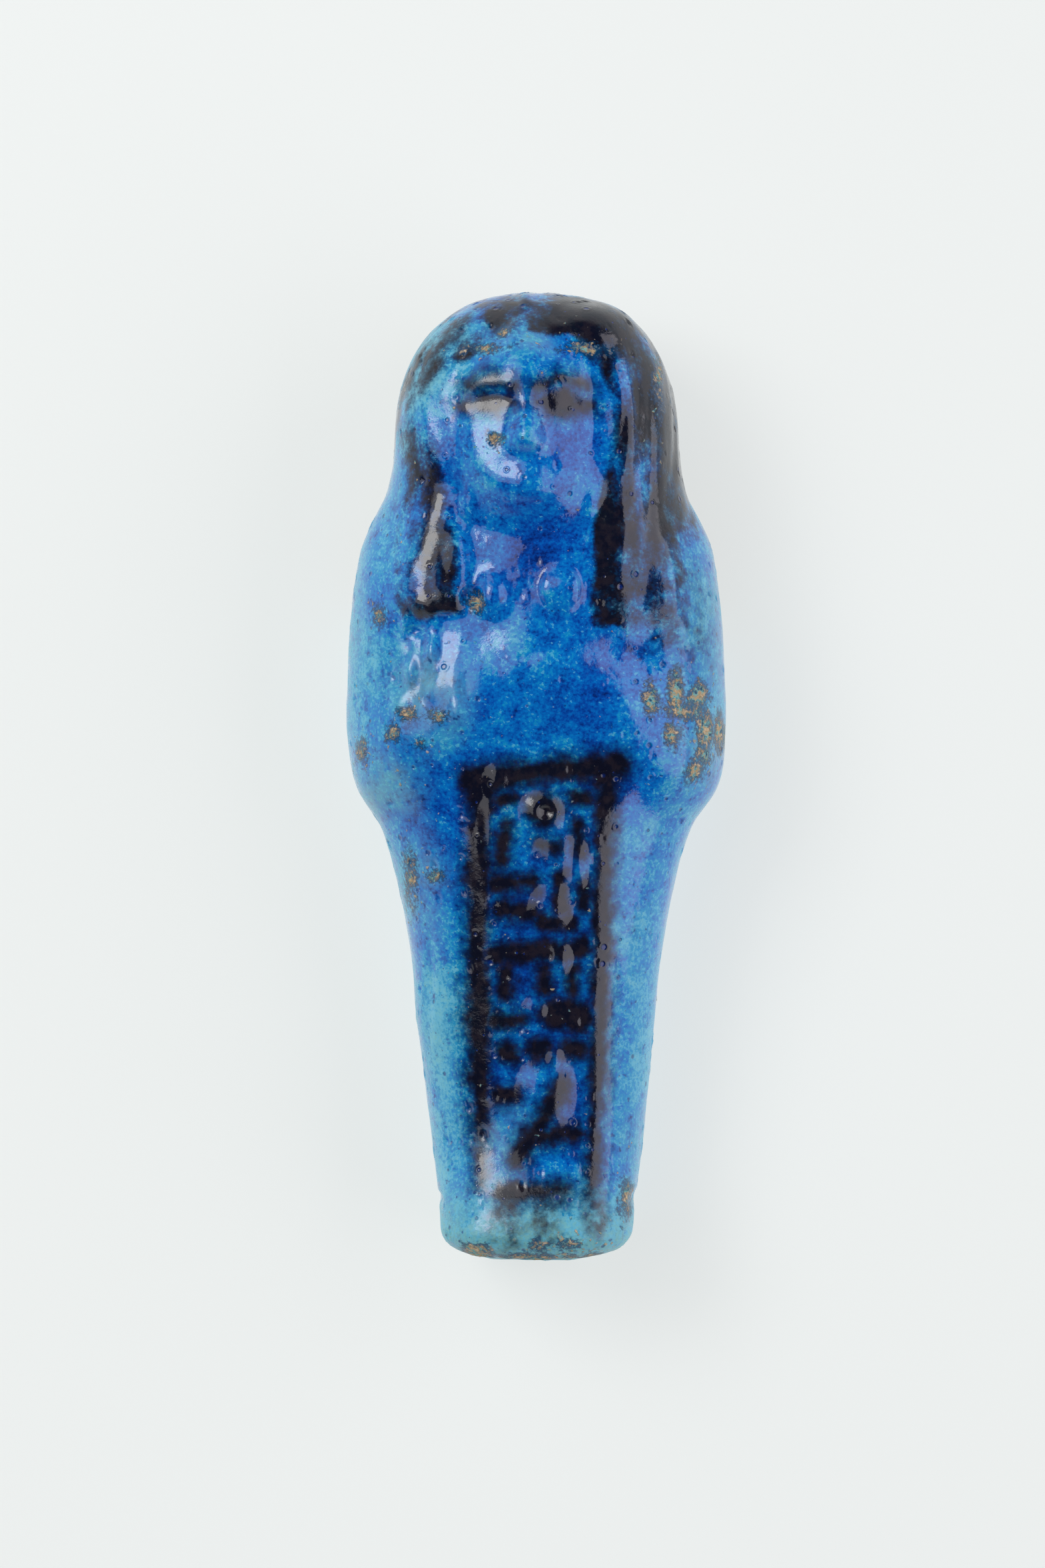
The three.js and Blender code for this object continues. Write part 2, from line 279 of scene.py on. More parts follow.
def arms(x, rise):
    """How far the folded arms and the fists stand over the breast."""
    upper_arm = swell(distance_to(np.abs(x), rise, SHOULDER, ELBOW)[0] / UPPER_ARM_HALF)
    forearm = [
        swell(distance_to(way * x, rise, ELBOW, WRIST)[0] / FOREARM_HALF) for way in (1, -1)
    ]
    fists = sum(
        swell(np.hypot((x - at_x) / FIST_HALF, (rise - at_rise) / FIST_TALL))
        for at_x, at_rise in FISTS
    )
    forearms = soft_max(*forearm, FOREARM_BLEND)
    folded = soft_max(ARM_RISE * forearms, UPPER_ARM_RISE * upper_arm, ARM_BLEND)
    return folded + FIST_RISE * fists


def face_inset(x, rise):
    """Distance in to the face's outline, about true near it and below 0 outside."""
    across = np.abs(x - WIG_ASIDE) / FACE_HALF_WIDTH
    along = np.abs(rise - FACE_MIDDLE) / FACE_HALF_HEIGHT
    reach = (across**FACE_POWER + along**FACE_POWER) ** (1 / FACE_POWER)
    return (1 - reach) * min(FACE_HALF_WIDTH, FACE_HALF_HEIGHT)


def wig_reach(x, rise):
    """Distance outwards from the wig's inner edge, round the face and down the lappets."""
    lift = np.clip((rise - LAPPET_END) / (FACE_MIDDLE - LAPPET_END), 0, 1)
    from_gap = np.abs(x - WIG_ASIDE) - (LAPPET_INSIDE + LAPPET_SPREAD * lift)
    from_face = -face_inset(x, rise)
    return np.where(rise < FACE_MIDDLE, np.minimum(from_gap, from_face), from_face)


def wig_cover(x, rise, edge=WIG_EDGE):
    """1 where the wig covers the body and 0 off it, with an edge that wide."""
    half = edge / 2
    inside = smooth(wig_reach(x, rise), -half, half)
    outside = smooth(LAPPET_OUTSIDE - np.abs(x), -half, half)
    on_shoulder = smooth(rise, LAPPET_TOP - edge, LAPPET_TOP + edge)
    return inside * np.maximum(outside, on_shoulder) * smooth(rise - LAPPET_END, -half, half)


def face(x, rise):
    """Height of the face over the ground."""
    aside = np.abs(x - WIG_ASIDE)
    down = FACE_MIDDLE - rise
    middle = BODY_DEPTH * through(FACE_FRONTS, rise / LENGTH)
    cheeks = CHEEK_FALL * (aside / FACE_HALF_WIDTH) ** FACE_POWER
    along = np.clip((down - NOSE_TOP) / (NOSE_TIP - NOSE_TOP), 0, 1)
    nose = NOSE_HEIGHT * along * (1 - smooth(down, NOSE_TIP, NOSE_END))
    nose *= swell(aside / mix(*NOSE_HALF, along))
    return middle - cheeks + nose + spots(aside, down, FEATURES)


def around(angle, half, low, high, side, power):
    """A plain cross-section: how far across and how high it is at each angle, and whether that
    is in front."""
    front = np.sin(angle) > 0
    bend = 2 / np.where(front, power, BACK_POWER)
    out = np.abs(np.sin(angle)) ** bend
    x = np.sign(np.cos(angle)) * half * np.abs(np.cos(angle)) ** bend
    return x, np.where(front, side + (high - side) * out, side - (side - low) * out), front


def surface(up, angle):
    """Points of the figure's skin in millimetres. Angle 0 is the right side and a quarter turn
    the front."""
    half, low, high, side, power, dome = section(up)
    rise = up * LENGTH
    x, plain, front = around(angle, half, low, high, side, power)
    fade = smooth(np.abs(np.sin(angle)), *CARVED) * dome
    carving = arms(x, rise) + WIG_RISE * wig_cover(*strayed(x, rise))
    in_face = smooth(face_inset(x, rise), -FACE_EDGE / 2, FACE_EDGE / 2)
    ahead = mix(plain + fade * carving, face(x, rise), in_face)
    behind = soft_max(plain, 0, BENCH_EDGE)
    return np.stack([x, rise - LENGTH / 2, np.where(front, ahead, behind)], axis=-1)


# The grid of the fine mesh

PLACES_ALONG = 4001  # where the outline is measured, to space the rings and columns evenly
PLACES_ROUND = 1441
BACK_SINE = -0.3  # below this sine of the angle round, a point is on the plain back
EDGE_ROUNDING = 5  # steps of smoothing
FACE_ROUNDING = 40
FACE_ROUNDED = (3.0, 1.0)  # from the face's outline: where its own rounding begins, and is whole


def evenly(path, places, count):
    """Count places spaced evenly along a path, whose length so far is known at each place. The
    path's end is left out."""
    steps = np.linspace(0, path[-1], count, endpoint=False)
    return np.interp(steps, path, places)


def path_of(*coordinates, weight=1.0):
    """Length so far along a line given by its coordinates, each step times a weight."""
    steps = np.sqrt(sum(np.diff(c, axis=-1) ** 2 for c in coordinates)) * weight
    return np.concatenate([np.zeros_like(steps[..., :1]), np.cumsum(steps, axis=-1)], axis=-1)


def skin_grid(sizes):
    """Points over the whole skin: rings from the sole's middle up to the crown, each from the
    middle of the back round to it again. Also each point's share of the length and angle."""
    ups = np.linspace(0, 1, PLACES_ALONG)
    half, _, high, _, _, _ = section(ups)
    rings = evenly(path_of(ups * LENGTH, half, high), ups, sizes.rings)
    turns = np.linspace(-math.pi / 2, 1.5 * math.pi, PLACES_ROUND)
    x, z, _ = around(turns, *(part[:, None] for part in section(rings)[:5]))
    middle_of_step = (turns[1:] + turns[:-1]) / 2
    weight = np.where(np.sin(middle_of_step) > BACK_SINE, 1, sizes.back_density)
    paths = path_of(x, z, weight=weight)
    angles = np.array([evenly(path, turns, sizes.columns) for path in paths])
    up = np.repeat(rings[:, None], sizes.columns, axis=1)
    points = surface(up, angles)
    middle = np.array([0, -LENGTH / 2, section(np.zeros(1))[3][0]])
    shares = (np.arange(sizes.sole_rings) + 0.5) / sizes.sole_rings
    sole = middle + shares[:, None, None] * (points[0] - middle)
    points = np.concatenate([sole, points])
    up = np.concatenate([np.zeros(sole.shape[:2]), up])
    angles = np.concatenate([np.repeat(angles[:1], sizes.sole_rings, axis=0), angles])
    return points, up, angles


def grid_normals(points):
    """Unit normals of a grid whose columns close on themselves, pointing out."""
    along = np.gradient(points, axis=0)
    across = np.roll(points, -1, axis=1) - np.roll(points, 1, axis=1)
    normals = np.cross(along, across)
    return normals / np.maximum(np.linalg.norm(normals, axis=-1, keepdims=True), 1e-9)


def softened(points, steps):
    """The grid with its creases rounded, more so the more steps, as thick glaze rounds them."""
    points = points.copy()
    for _ in range(steps):
        points[1:-1] = (points[:-2] + points[1:-1] + points[2:]) / 3
        points = (np.roll(points, 1, axis=1) + points + np.roll(points, -1, axis=1)) / 3
    return points


def glazed(points, x, rise, on_front):
    """The plain form under its glaze: every edge a little rounded, most of all round the face."""
    near_face = smooth(np.abs(face_inset(x, rise)), *FACE_ROUNDED) * on_front
    lightly, well = softened(points, EDGE_ROUNDING), softened(points, FACE_ROUNDING)
    return mix(lightly, well, near_face[..., None])


# Finer relief, in millimetres: lumps, strands, runs of glaze, worn spots and pits

FAR = -3  # a distance in to an edge that is well outside it
# Unevenness of the hand-pressed form, and of its lumpy places: height, size, seed, octaves
FORM_LUMPS = ((0.26, 13, 3, 1), (0.12, 5, 5, 1), (0.02, 1.8, 7, 2))
CRACKLE = ((0.34, 2.6, 11, 2), (0.09, 1.1, 83, 1))
CRACKLE_STRETCH = (1.1, 0.6, 1)  # closer together across the figure than along it
# Lumpy places: x, rise, half width, half length, strength
LUMPY = (
    (-10.8, 60.5, 7.5, 8.0, 1.0), (-10.5, 67.0, 4.5, 3.5, 0.8), (-8.5, 74.0, 2.5, 4.0, 0.5),
    (2.0, 42.0, 4.5, 11.0, 0.25), (-1.0, 69.0, 8.0, 4.5, 0.3), (-6.0, 83.0, 4.5, 9.0, 0.2),
)
# Raised beads and runs of thick glaze: x, rise, half width, half length, height
BEADS = (
    (0.5, 46.2, 2.7, 2.9, 0.7), (1.8, 41.2, 3.0, 4.5, 0.75), (1.2, 36.2, 2.8, 3.1, 0.65),
    (2.2, 31.2, 1.7, 2.4, 0.4), (-0.2, 25.9, 1.7, 2.0, 0.4), (0.8, 17.6, 3.6, 5.6, 0.8),
    (1.8, 20.8, 1.1, 1.4, 0.3), (4.4, 40.8, 1.0, 3.6, 0.25), (6.5, 22.0, 2.6, 24.0, 0.32),
    (-4.1, 49.4, 1.7, 2.6, 0.5), (-4.8, 44.0, 1.5, 5.0, 0.35), (-8.0, 71.8, 1.8, 5.2, 0.6),
    (-11.4, 71.8, 3.5, 8.0, 0.5), (-7.2, 77.0, 1.2, 2.6, 0.4), (-13.4, 65.4, 0.9, 1.9, 0.5),
    (-10.6, 62.4, 1.2, 2.6, 0.5), (-12.9, 60.4, 1.1, 2.1, 0.45), (-8.0, 56.2, 1.4, 1.9, 0.35),
    (-14.0, 57.5, 1.6, 2.4, 0.35), (1.2, 68.9, 0.9, 1.9, 0.3), (3.4, 68.9, 0.9, 1.9, 0.3),
    (-9.0, 60.5, 5.5, 7.0, 0.7), (1.0, 60.8, 2.4, 2.2, 0.2), (-1.6, 92.5, 3.4, 5.5, 0.6),
    (12.4, 83.0, 1.1, 11.0, 0.18), (15.0, 82.0, 1.2, 10.0, 0.18), (-1.2, 98.8, 1.0, 1.6, 0.3),
    (6.0, 96.0, 4.8, 3.2, 0.8), (-2.4, 94.8, 0.9, 2.4, 0.22), (-9.2, 67.0, 2.6, 2.0, 0.35),
    (-11.9, 67.2, 2.1, 1.7, 0.4), (8.2, 78.0, 4.2, 15.0, 0.45),
)
# Hollows: x, rise, half width, half length, depth
HOLLOWS = (
    (-6.7, 68.1, 1.5, 1.4, 0.8), (0.8, 46.2, 1.1, 1.1, 0.75), (-4.4, 84.0, 0.5, 0.5, 0.25),
    (-11.0, 28.0, 0.8, 9.0, 0.2), (9.9, 6.0, 0.8, 1.4, 0.35), (-10.2, 6.0, 0.7, 0.9, 0.4),
    (-9.0, 66.0, 2.2, 0.8, 0.4), (-12.5, 64.6, 1.6, 0.7, 0.35), (10.6, 88.0, 3.2, 8.5, 0.5),
)
# Sandy worn spots, where the glaze is gone: x, rise, half width, half length
WORN = (
    (11.6, 57.6, 0.5, 1.1), (14.2, 58.3, 0.55, 1.2), (16.5, 58.1, 0.75, 0.9),
    (15.0, 56.4, 1.0, 0.45), (13.9, 53.9, 0.5, 0.8), (17.4, 54.4, 0.6, 1.3),
    (19.0, 54.2, 0.4, 0.9), (16.0, 50.3, 0.6, 0.7), (17.2, 52.1, 0.4, 0.5),
    (-13.3, 56.1, 0.35, 0.3), (-14.7, 54.3, 0.2, 0.3), (-10.0, 56.1, 0.3, 0.2),
    (-11.9, 53.1, 0.2, 0.2), (-18.0, 52.2, 0.2, 0.4), (-16.2, 66.4, 0.3, 0.4),
    (-13.1, 39.6, 0.2, 0.9), (-10.4, 39.6, 0.3, 0.2), (-6.3, 67.6, 0.6, 0.7),
    (-4.4, 84.0, 0.3, 0.25), (-3.4, 95.0, 0.2, 0.2), (-5.6, 93.4, 0.4, 0.1),
    (5.1, 93.3, 0.6, 0.15), (12.5, 90.3, 0.1, 0.8), (-6.0, 0.4, 1.0, 0.4),
    (9.2, 6.2, 0.35, 0.8), (-1.0, 0.1, 1.6, 0.3), (4.5, 0.1, 1.0, 0.3), (-6.2, 1.1, 0.8, 0.4),
    (0.4, 1.6, 0.3, 0.2), (3.0, 1.8, 0.3, 0.15),
)
# Pits left by burst bubbles
PIT_SEED = 41
PIT_RADIUS = 0.22  # the smallest pit's
PIT_SPREAD = 0.3  # how much wider the largest pit is
PIT_DEPTH = 0.55  # this and its rim's height are shares of the radius
PIT_RIM = 0.12


def pits(points, count):
    """Height of the round pits left by bubbles, scattered over the whole skin."""
    chooser = np.random.default_rng(PIT_SEED)
    flat = points.reshape(-1, 3)
    chosen = chooser.choice(len(flat), count, replace=False)
    height = np.zeros(len(flat))
    order = np.argsort(flat[:, 1])
    along = flat[order, 1]
    for middle in flat[chosen]:
        radius = PIT_RADIUS + PIT_SPREAD * chooser.random() ** 2
        first, last = np.searchsorted(along, (middle[1] - 2 * radius, middle[1] + 2 * radius))
        near = order[first:last]
        reach = np.linalg.norm(flat[near] - middle, axis=1) / radius
        rim = swell((reach - 1.25) / 0.5)
        height[near] += radius * (PIT_RIM * rim - PIT_DEPTH * swell(reach))
    return height.reshape(points.shape[:2])


# Turns the noise on the flat back, so that its cells don't show there as squares
ASKEW = np.array(((0.8, 0.36, 0.48), (-0.6, 0.48, 0.64), (0, -0.8, 0.6)))


def on_the_sole(points):
    """1 on the flat sole and 0 off it."""
    return smooth(-points[..., 1], LENGTH / 2 - 0.4, LENGTH / 2)


def worn(points, x, rise, on_front):
    """Distance in to the edge of the nearest worn spot, ragged, and below 0 outside."""
    ragged = 0.35 * noise(points, 1.1, seed=29, octaves=2)
    inset = np.full_like(x, FAR)
    for at_x, at_rise, half, tall in WORN:
        reach = np.hypot((x - at_x) / half, (rise - at_rise) / tall)
        inset = np.maximum(inset, (1 - reach) * min(half, tall))
    sole = on_the_sole(points)
    # The back and the sole are worn at random
    places = points @ ASKEW + 0.8 * ragged[..., None]
    likely = noise(places, 5, seed=79, octaves=2) + 0.35 * sole
    elsewhere = mix(FAR, 0.3, smooth(likely, 0.4, 0.8))
    shown = on_front * (1 - sole) + 0.4 * noise(points, 2.2, seed=89) > 0.5
    return np.where(shown, inset, elsewhere) + ragged


def strands(points, x, rise):
    """Strands of hair that follow the wig's inner edge, as shares of their full height. They
    are stronger on the right."""
    waver = 0.9 * noise(points * (1, 0.35, 1), 4, seed=13)
    turns = wig_reach(*strayed(x, rise)) / STRAND + waver
    strength = mix(0.35, 0.65, smooth(x, -2, 8)) * smooth(rise, LAPPET_END, LAPPET_END + 12)
    uneven = 0.5 + 0.5 * noise(points, 9, seed=17)
    return np.cos(2 * math.pi * turns) * wig_cover(x, rise) * strength * uneven


def neck_glaze(x, rise):
    """Glaze that fills the neck up towards the right lappet."""
    on_neck = smooth(rise, 62, 68) * smooth(rise, 83, 77) * smooth(x, 12, 9)
    level = 0.9 * smooth(x, -9.5, 1.5)
    return on_neck * np.clip(level - WIG_RISE * wig_cover(*strayed(x, rise)), 0, None)


def relief(points, x, rise, on_front, sizes):
    """How far the fine surface stands over the plain form."""
    calm = 1 - 0.5 * smooth(face_inset(x, rise), 0, 2) * on_front
    lumps = sizes.lumps * calm * layers(points, FORM_LUMPS)
    rough = np.clip(spots(x, rise, LUMPY), 0, 1) * layers(points * CRACKLE_STRETCH, CRACKLE)
    hair = sizes.strands / MM * strands(points, x, rise)
    marks = spots(x, rise, BEADS) - spots(x, rise, HOLLOWS) + neck_glaze(x, rise)
    crumbled = smooth(worn(points, x, rise, on_front), -0.1, 0.3)
    crust = 0.18 * crumbled * noise(points, 0.7, seed=19, octaves=2)
    sole = 0.22 * on_the_sole(points) * noise(points, 3.2, seed=23, octaves=2)
    return lumps + (rough + hair + marks) * on_front + crust + sole


# Paint

BRUSH_SPREAD = 0.12  # how much wider a stroke of the column is than its half widths say
LID_HALF = 0.25  # half width of the line round the eyes
# The column's frame: x and rise of a stroke's start and end, half widths there
FRAME_STROKES = (
    (-6.2, 49.4, 7.9, 51.0, 1.15, 1.2), (-5.9, 49.0, -6.0, 36.0, 1.1, 0.85),
    (-6.0, 36.0, -5.9, 18.0, 0.85, 0.7), (-5.9, 18.0, -5.9, 8.0, 0.45, 0.3),
    (7.0, 50.6, 6.7, 36.0, 0.95, 0.75), (6.7, 36.0, 6.0, 18.0, 0.7, 0.5),
    (6.0, 18.0, 5.6, 7.2, 0.55, 0.5),
)
# Dabs and bars between the lines, in the same way. They are no signs.
DAB_STROKES = (
    (0.3, 46.6, 1.0, 46.2, 1.6, 1.6), (-3.9, 47.2, -2.6, 47.4, 0.6, 0.5),
    (3.8, 47.6, 4.9, 47.3, 0.7, 0.6), (-3.3, 44.6, -3.4, 41.2, 0.75, 0.6),
    (4.2, 44.6, 4.0, 42.4, 0.7, 0.7), (0.4, 42.8, 1.9, 42.6, 0.7, 0.8),
    (-4.0, 38.6, -0.6, 39.0, 0.75, 0.65), (2.4, 39.8, 2.6, 36.6, 0.8, 0.7),
    (4.9, 39.2, 4.8, 36.8, 0.55, 0.5), (-3.6, 36.4, -1.0, 36.0, 0.8, 0.7),
    (0.6, 35.2, 3.2, 34.6, 0.6, 0.6), (-4.3, 31.6, 4.6, 32.0, 0.85, 0.8),
    (-3.4, 29.8, -3.3, 28.0, 0.65, 0.6), (0.5, 29.6, 0.6, 28.0, 0.7, 0.6),
    (3.6, 29.8, 3.5, 28.0, 0.65, 0.6), (1.6, 25.4, 3.9, 25.2, 1.35, 1.5),
    (-4.2, 24.8, -1.8, 25.0, 0.6, 0.5), (-3.2, 21.6, -2.6, 21.4, 0.85, 0.8),
    (0.2, 21.8, 0.7, 21.8, 0.9, 0.85), (3.4, 21.8, 4.0, 21.6, 0.85, 0.8),
    (-1.9, 10.6, 2.4, 17.6, 0.7, 0.95), (0.2, 12.8, 4.2, 13.2, 0.75, 0.7),
    (-4.2, 17.0, -2.6, 17.2, 0.6, 0.55), (-3.6, 7.2, 2.8, 7.5, 0.7, 0.6),
)
# Faded smudges over the feet: x, rise, half width, half length, strength
SMUDGES = (
    (-3.2, 3.6, 2.9, 4.2, 1.7), (0.8, 4.0, 2.5, 4.4, 1.6), (6.0, 4.6, 2.1, 3.0, 1.5),
    (14.5, 67.5, 6.0, 8.0, 0.6), (16.5, 63.0, 4.0, 6.0, 0.35), (-2.5, 29.0, 1.5, 7.0, 0.2),
)
# How densely the wig is painted: x, rise, half width, half length, more or less
WIG_DABS = (
    (3.4, 96.4, 5.0, 3.4, 0.9), (-4.3, 96.7, 1.8, 1.8, 0.5), (-7.1, 92.8, 2.2, 1.4, 0.6),
    (-2.5, 97.2, 3.4, 2.4, 0.35), (11.0, 72.0, 3.2, 7.0, 0.35),
    (-10.6, 80.4, 2.8, 5.6, 0.7), (-12.8, 84.0, 1.8, 3.2, 0.35), (-10.0, 72.0, 4.0, 8.0, 0.24),
    (-10.5, 67.0, 5.0, 2.6, 0.6), (6.6, 74.0, 3.0, 10.5, 0.7), (9.3, 89.0, 2.6, 7.0, -0.3),
    (13.0, 84.0, 4.0, 12.0, 0.05), (-14.2, 77.0, 2.6, 9.0, -0.45), (-10.6, 88.0, 1.8, 5.0, -0.4),
    (13.4, 71.0, 2.8, 6.0, -0.2),
)
# The tails of the eyes and the brows, as the column's but aside from the face's middle line and
# up from its middle
FACE_STROKES = (
    (EYE_ASIDE + 1.4, -EYE_DOWN, EYE_ASIDE + 3.2, -EYE_DOWN - 0.1, 0.35, 0.2),
    (1.3, 3.2, 3.4, 4.1, 0.3, 0.42), (3.4, 4.1, 6.2, 3.3, 0.42, 0.25),
)


def strokes(x, rise, table):
    """Distance in to the edge of the nearest brush stroke, below 0 outside."""
    inset = np.full_like(x, FAR)
    for x0, rise0, x1, rise1, half0, half1 in table:
        distance, share = distance_to(x, rise, (x0, rise0), (x1, rise1))
        inset = np.maximum(inset, mix(half0, half1, share) - distance)
    return inset


def face_paint(x, rise):
    """Distance in to the edge of the painted brows and eyes."""
    aside = np.abs(x - WIG_ASIDE)
    down = FACE_MIDDLE - rise
    bow = (EYE_HALF**2 + EYE_TALL**2) / (2 * EYE_TALL)
    lids = [
        bow - np.hypot(aside - EYE_ASIDE, down - EYE_DOWN - way * (bow - EYE_TALL))
        for way in (1, -1)
    ]
    return np.maximum(np.minimum(*lids) + LID_HALF, strokes(aside, -down, FACE_STROKES))


def ink(points, x, rise, on_front):
    """Distance in to the edge of the black strokes, below 0 outside."""
    x = x + 0.3 * noise(points, 2.6, seed=31)
    rise = rise + 0.3 * noise(points, 2.6, seed=37)
    thinning = 0.3 * noise(points, 5, seed=71, octaves=2)
    column = strokes(x, rise, FRAME_STROKES + DAB_STROKES) + thinning + BRUSH_SPREAD
    inset = np.maximum(column, face_paint(x, rise) + thinning / 2)
    return np.where(on_front > 0.5, inset, FAR)


def wig_paint(points, x, rise, on_front):
    """How densely the wig is painted, from 0 to about 1."""
    edge = 1.1 * noise(points, 3.2, seed=41, octaves=2)
    # On most of the right lappet the paint fades, and runs on below the lappet's end
    fading = smooth(x, 7.5, 10) * on_front
    cover = wig_cover(x + 0.4 * edge, rise + (1.4 + fading) * edge + 0.6 + 4 * fading, 1.6)
    cover = cover * (1 - 0.7 * fading * smooth(rise + 2 * edge, 73, 63))
    on_back = smooth(rise + 1.2 * edge - LAPPET_END, 0.4, 2)
    cover = mix(on_back, cover, on_front)
    streaks = 0.3 * noise(points * (1, 0.22, 1), 1.5, seed=43, octaves=2)
    patchy = 0.36 * noise(points, 4.5, seed=47, octaves=2)
    # Thin on the left, thicker on the right and thickest behind
    base = mix(0.7, mix(0.3, 0.64, smooth(x, -3, 5)), on_front)
    return cover * (base + streaks + patchy + on_front * spots(x, rise, WIG_DABS))


# Glaze

# Where it lies thicker or thinner: x, rise, half width, half length, more or less
POOLS = (
    (1.0, 72.0, 7.0, 9.0, 0.2), (2.0, 60.0, 13.0, 12.0, 0.08), (-4.0, 50.0, 12.0, 5.0, 0.1),
    (9.0, 49.0, 4.0, 6.0, 0.25), (0.5, 30.0, 6.0, 26.0, 0.12), (-2.6, 86.5, 8.0, 10.0, -0.12),
    (-17.0, 62.0, 5.0, 20.0, -0.09), (17.5, 70.0, 4.0, 10.0, -0.15), (0, 2.0, 14.0, 9.0, -0.5),
    (9.5, 25.0, 5.0, 22.0, -0.2), (-9.5, 20.0, 4.5, 20.0, -0.26), (-11.0, 45.0, 5.0, 6.0, 0.06),
    (-11.0, 79.0, 5.0, 6.0, 0.2), (-10.0, 93.0, 7.0, 8.0, -0.25), (4.0, 83.5, 4.5, 8.0, 0.16),
)


def glaze_depth(points, normals, x, rise, on_front, hollow):
    """How thick the glaze lies, about 0 to 1: thinner at the sides, on the back and on edges,
    and thicker in hollows."""
    half = np.maximum(section(rise / LENGTH)[0], 1)
    side = np.clip(np.abs(x) / half, 0, 1) ** 4
    depth = 0.52 - 0.2 * side + 0.13 * noise(points, 6, seed=53, octaves=2)
    depth += on_front * spots(x, rise, POOLS) + 0.5 * np.clip(hollow, -0.25, 0.35)
    facing_down = normals[..., 2] < -0.5
    return np.where(on_front > 0.5, depth, depth - 0.1 - 0.12 * facing_down)


# Weathered and greenish places: x, rise, half width, half length, strength
WEATHERED = (
    (-15.5, 49.0, 6.0, 5.0, 0.8), (17.5, 52.0, 4.0, 6.0, 0.6), (-12.0, 38.0, 4.5, 9.0, 0.55),
    (-10.5, 24.0, 4.0, 9.0, 0.45), (-11.5, 58.0, 6.5, 8.0, 0.9), (11.0, 10.0, 4.0, 8.0, 0.5),
    (-19.0, 64.0, 4.0, 9.0, 0.3), (-2.5, 94.0, 7.0, 3.0, 0.55), (-9.5, 93.0, 5.5, 6.0, 0.5),
    (-3.0, 14.0, 4.0, 5.0, 0.3), (-15.0, 80.0, 3.0, 7.0, 0.3), (18.6, 62.0, 2.2, 13.0, 0.4),
)


def weathering(points, x, rise, on_front):
    """How weathered the glaze is, from 0 to 1: most of all at the feet."""
    patchy = 0.5 + 0.5 * noise(points, 3.5, seed=73, octaves=2)
    places = on_front * spots(x, rise, WEATHERED) * patchy
    return np.clip(smooth(rise, 10, 1) * (0.7 + 0.3 * patchy) + places, 0, 1)


def hollowness(points, normals):
    """How far each point lies below the mean of its surroundings, in millimetres."""
    return np.einsum("rci,rci->rc", softened(points, EDGE_ROUNDING) - points, normals)


# The mesh

FRONT = (-0.25, 0.05)  # sine of the angle round where the front's marks begin, and are whole
MAP_END = 0.3  # length of the map left for the point at each end of the skin


def join_grid(rings, columns):
    """Faces of a skin of rings closed by a fan at each end, pointing out. The last two vertices
    are the ends."""
    ring, column = np.meshgrid(np.arange(rings - 1), np.arange(columns), indexing="ij")
    here = ring * columns + column
    beside = ring * columns + (column + 1) % columns
    quads = np.stack([here, here + columns, beside + columns, beside], axis=-1).reshape(-1, 4)
    spoke = np.arange(columns)
    next_spoke = (spoke + 1) % columns
    top = (rings - 1) * columns
    start, end = rings * columns, rings * columns + 1
    bottom_fan = np.stack([np.full(columns, start), spoke, next_spoke], axis=-1)
    top_fan = np.stack([np.full(columns, end), top + next_spoke, top + spoke], axis=-1)
    return quads, bottom_fan, top_fan


def unwrap(mesh, rings, columns, along):
    """A map of the whole skin as one sheet, with its seam down the back. Along is how far up
    the map each ring lies."""
    layer = mesh.uv_layers.new(name="OFBake")
    corner = np.empty(len(mesh.loops), int)
    mesh.loops.foreach_get("vertex_index", corner)
    ring, column = corner // columns, corner % columns
    face_of = np.repeat(np.arange(len(mesh.polygons)), [p.loop_total for p in mesh.polygons])
    most = np.zeros(len(mesh.polygons), int)
    inside = corner < rings * columns
    np.maximum.at(most, face_of, np.where(inside, column, 0))
    wraps = (column == 0) & (most[face_of] == columns - 1)
    u = (column + columns * wraps) / columns
    v = along[np.minimum(ring, rings - 1)]
    u = np.where(inside, u, (most[face_of] - 0.5) / columns)
    v = np.where(corner == rings * columns, 0, np.where(corner > rings * columns, 1, v))
    layer.uv.foreach_set("vector", np.stack([u, v], axis=-1).astype(np.float32).ravel())


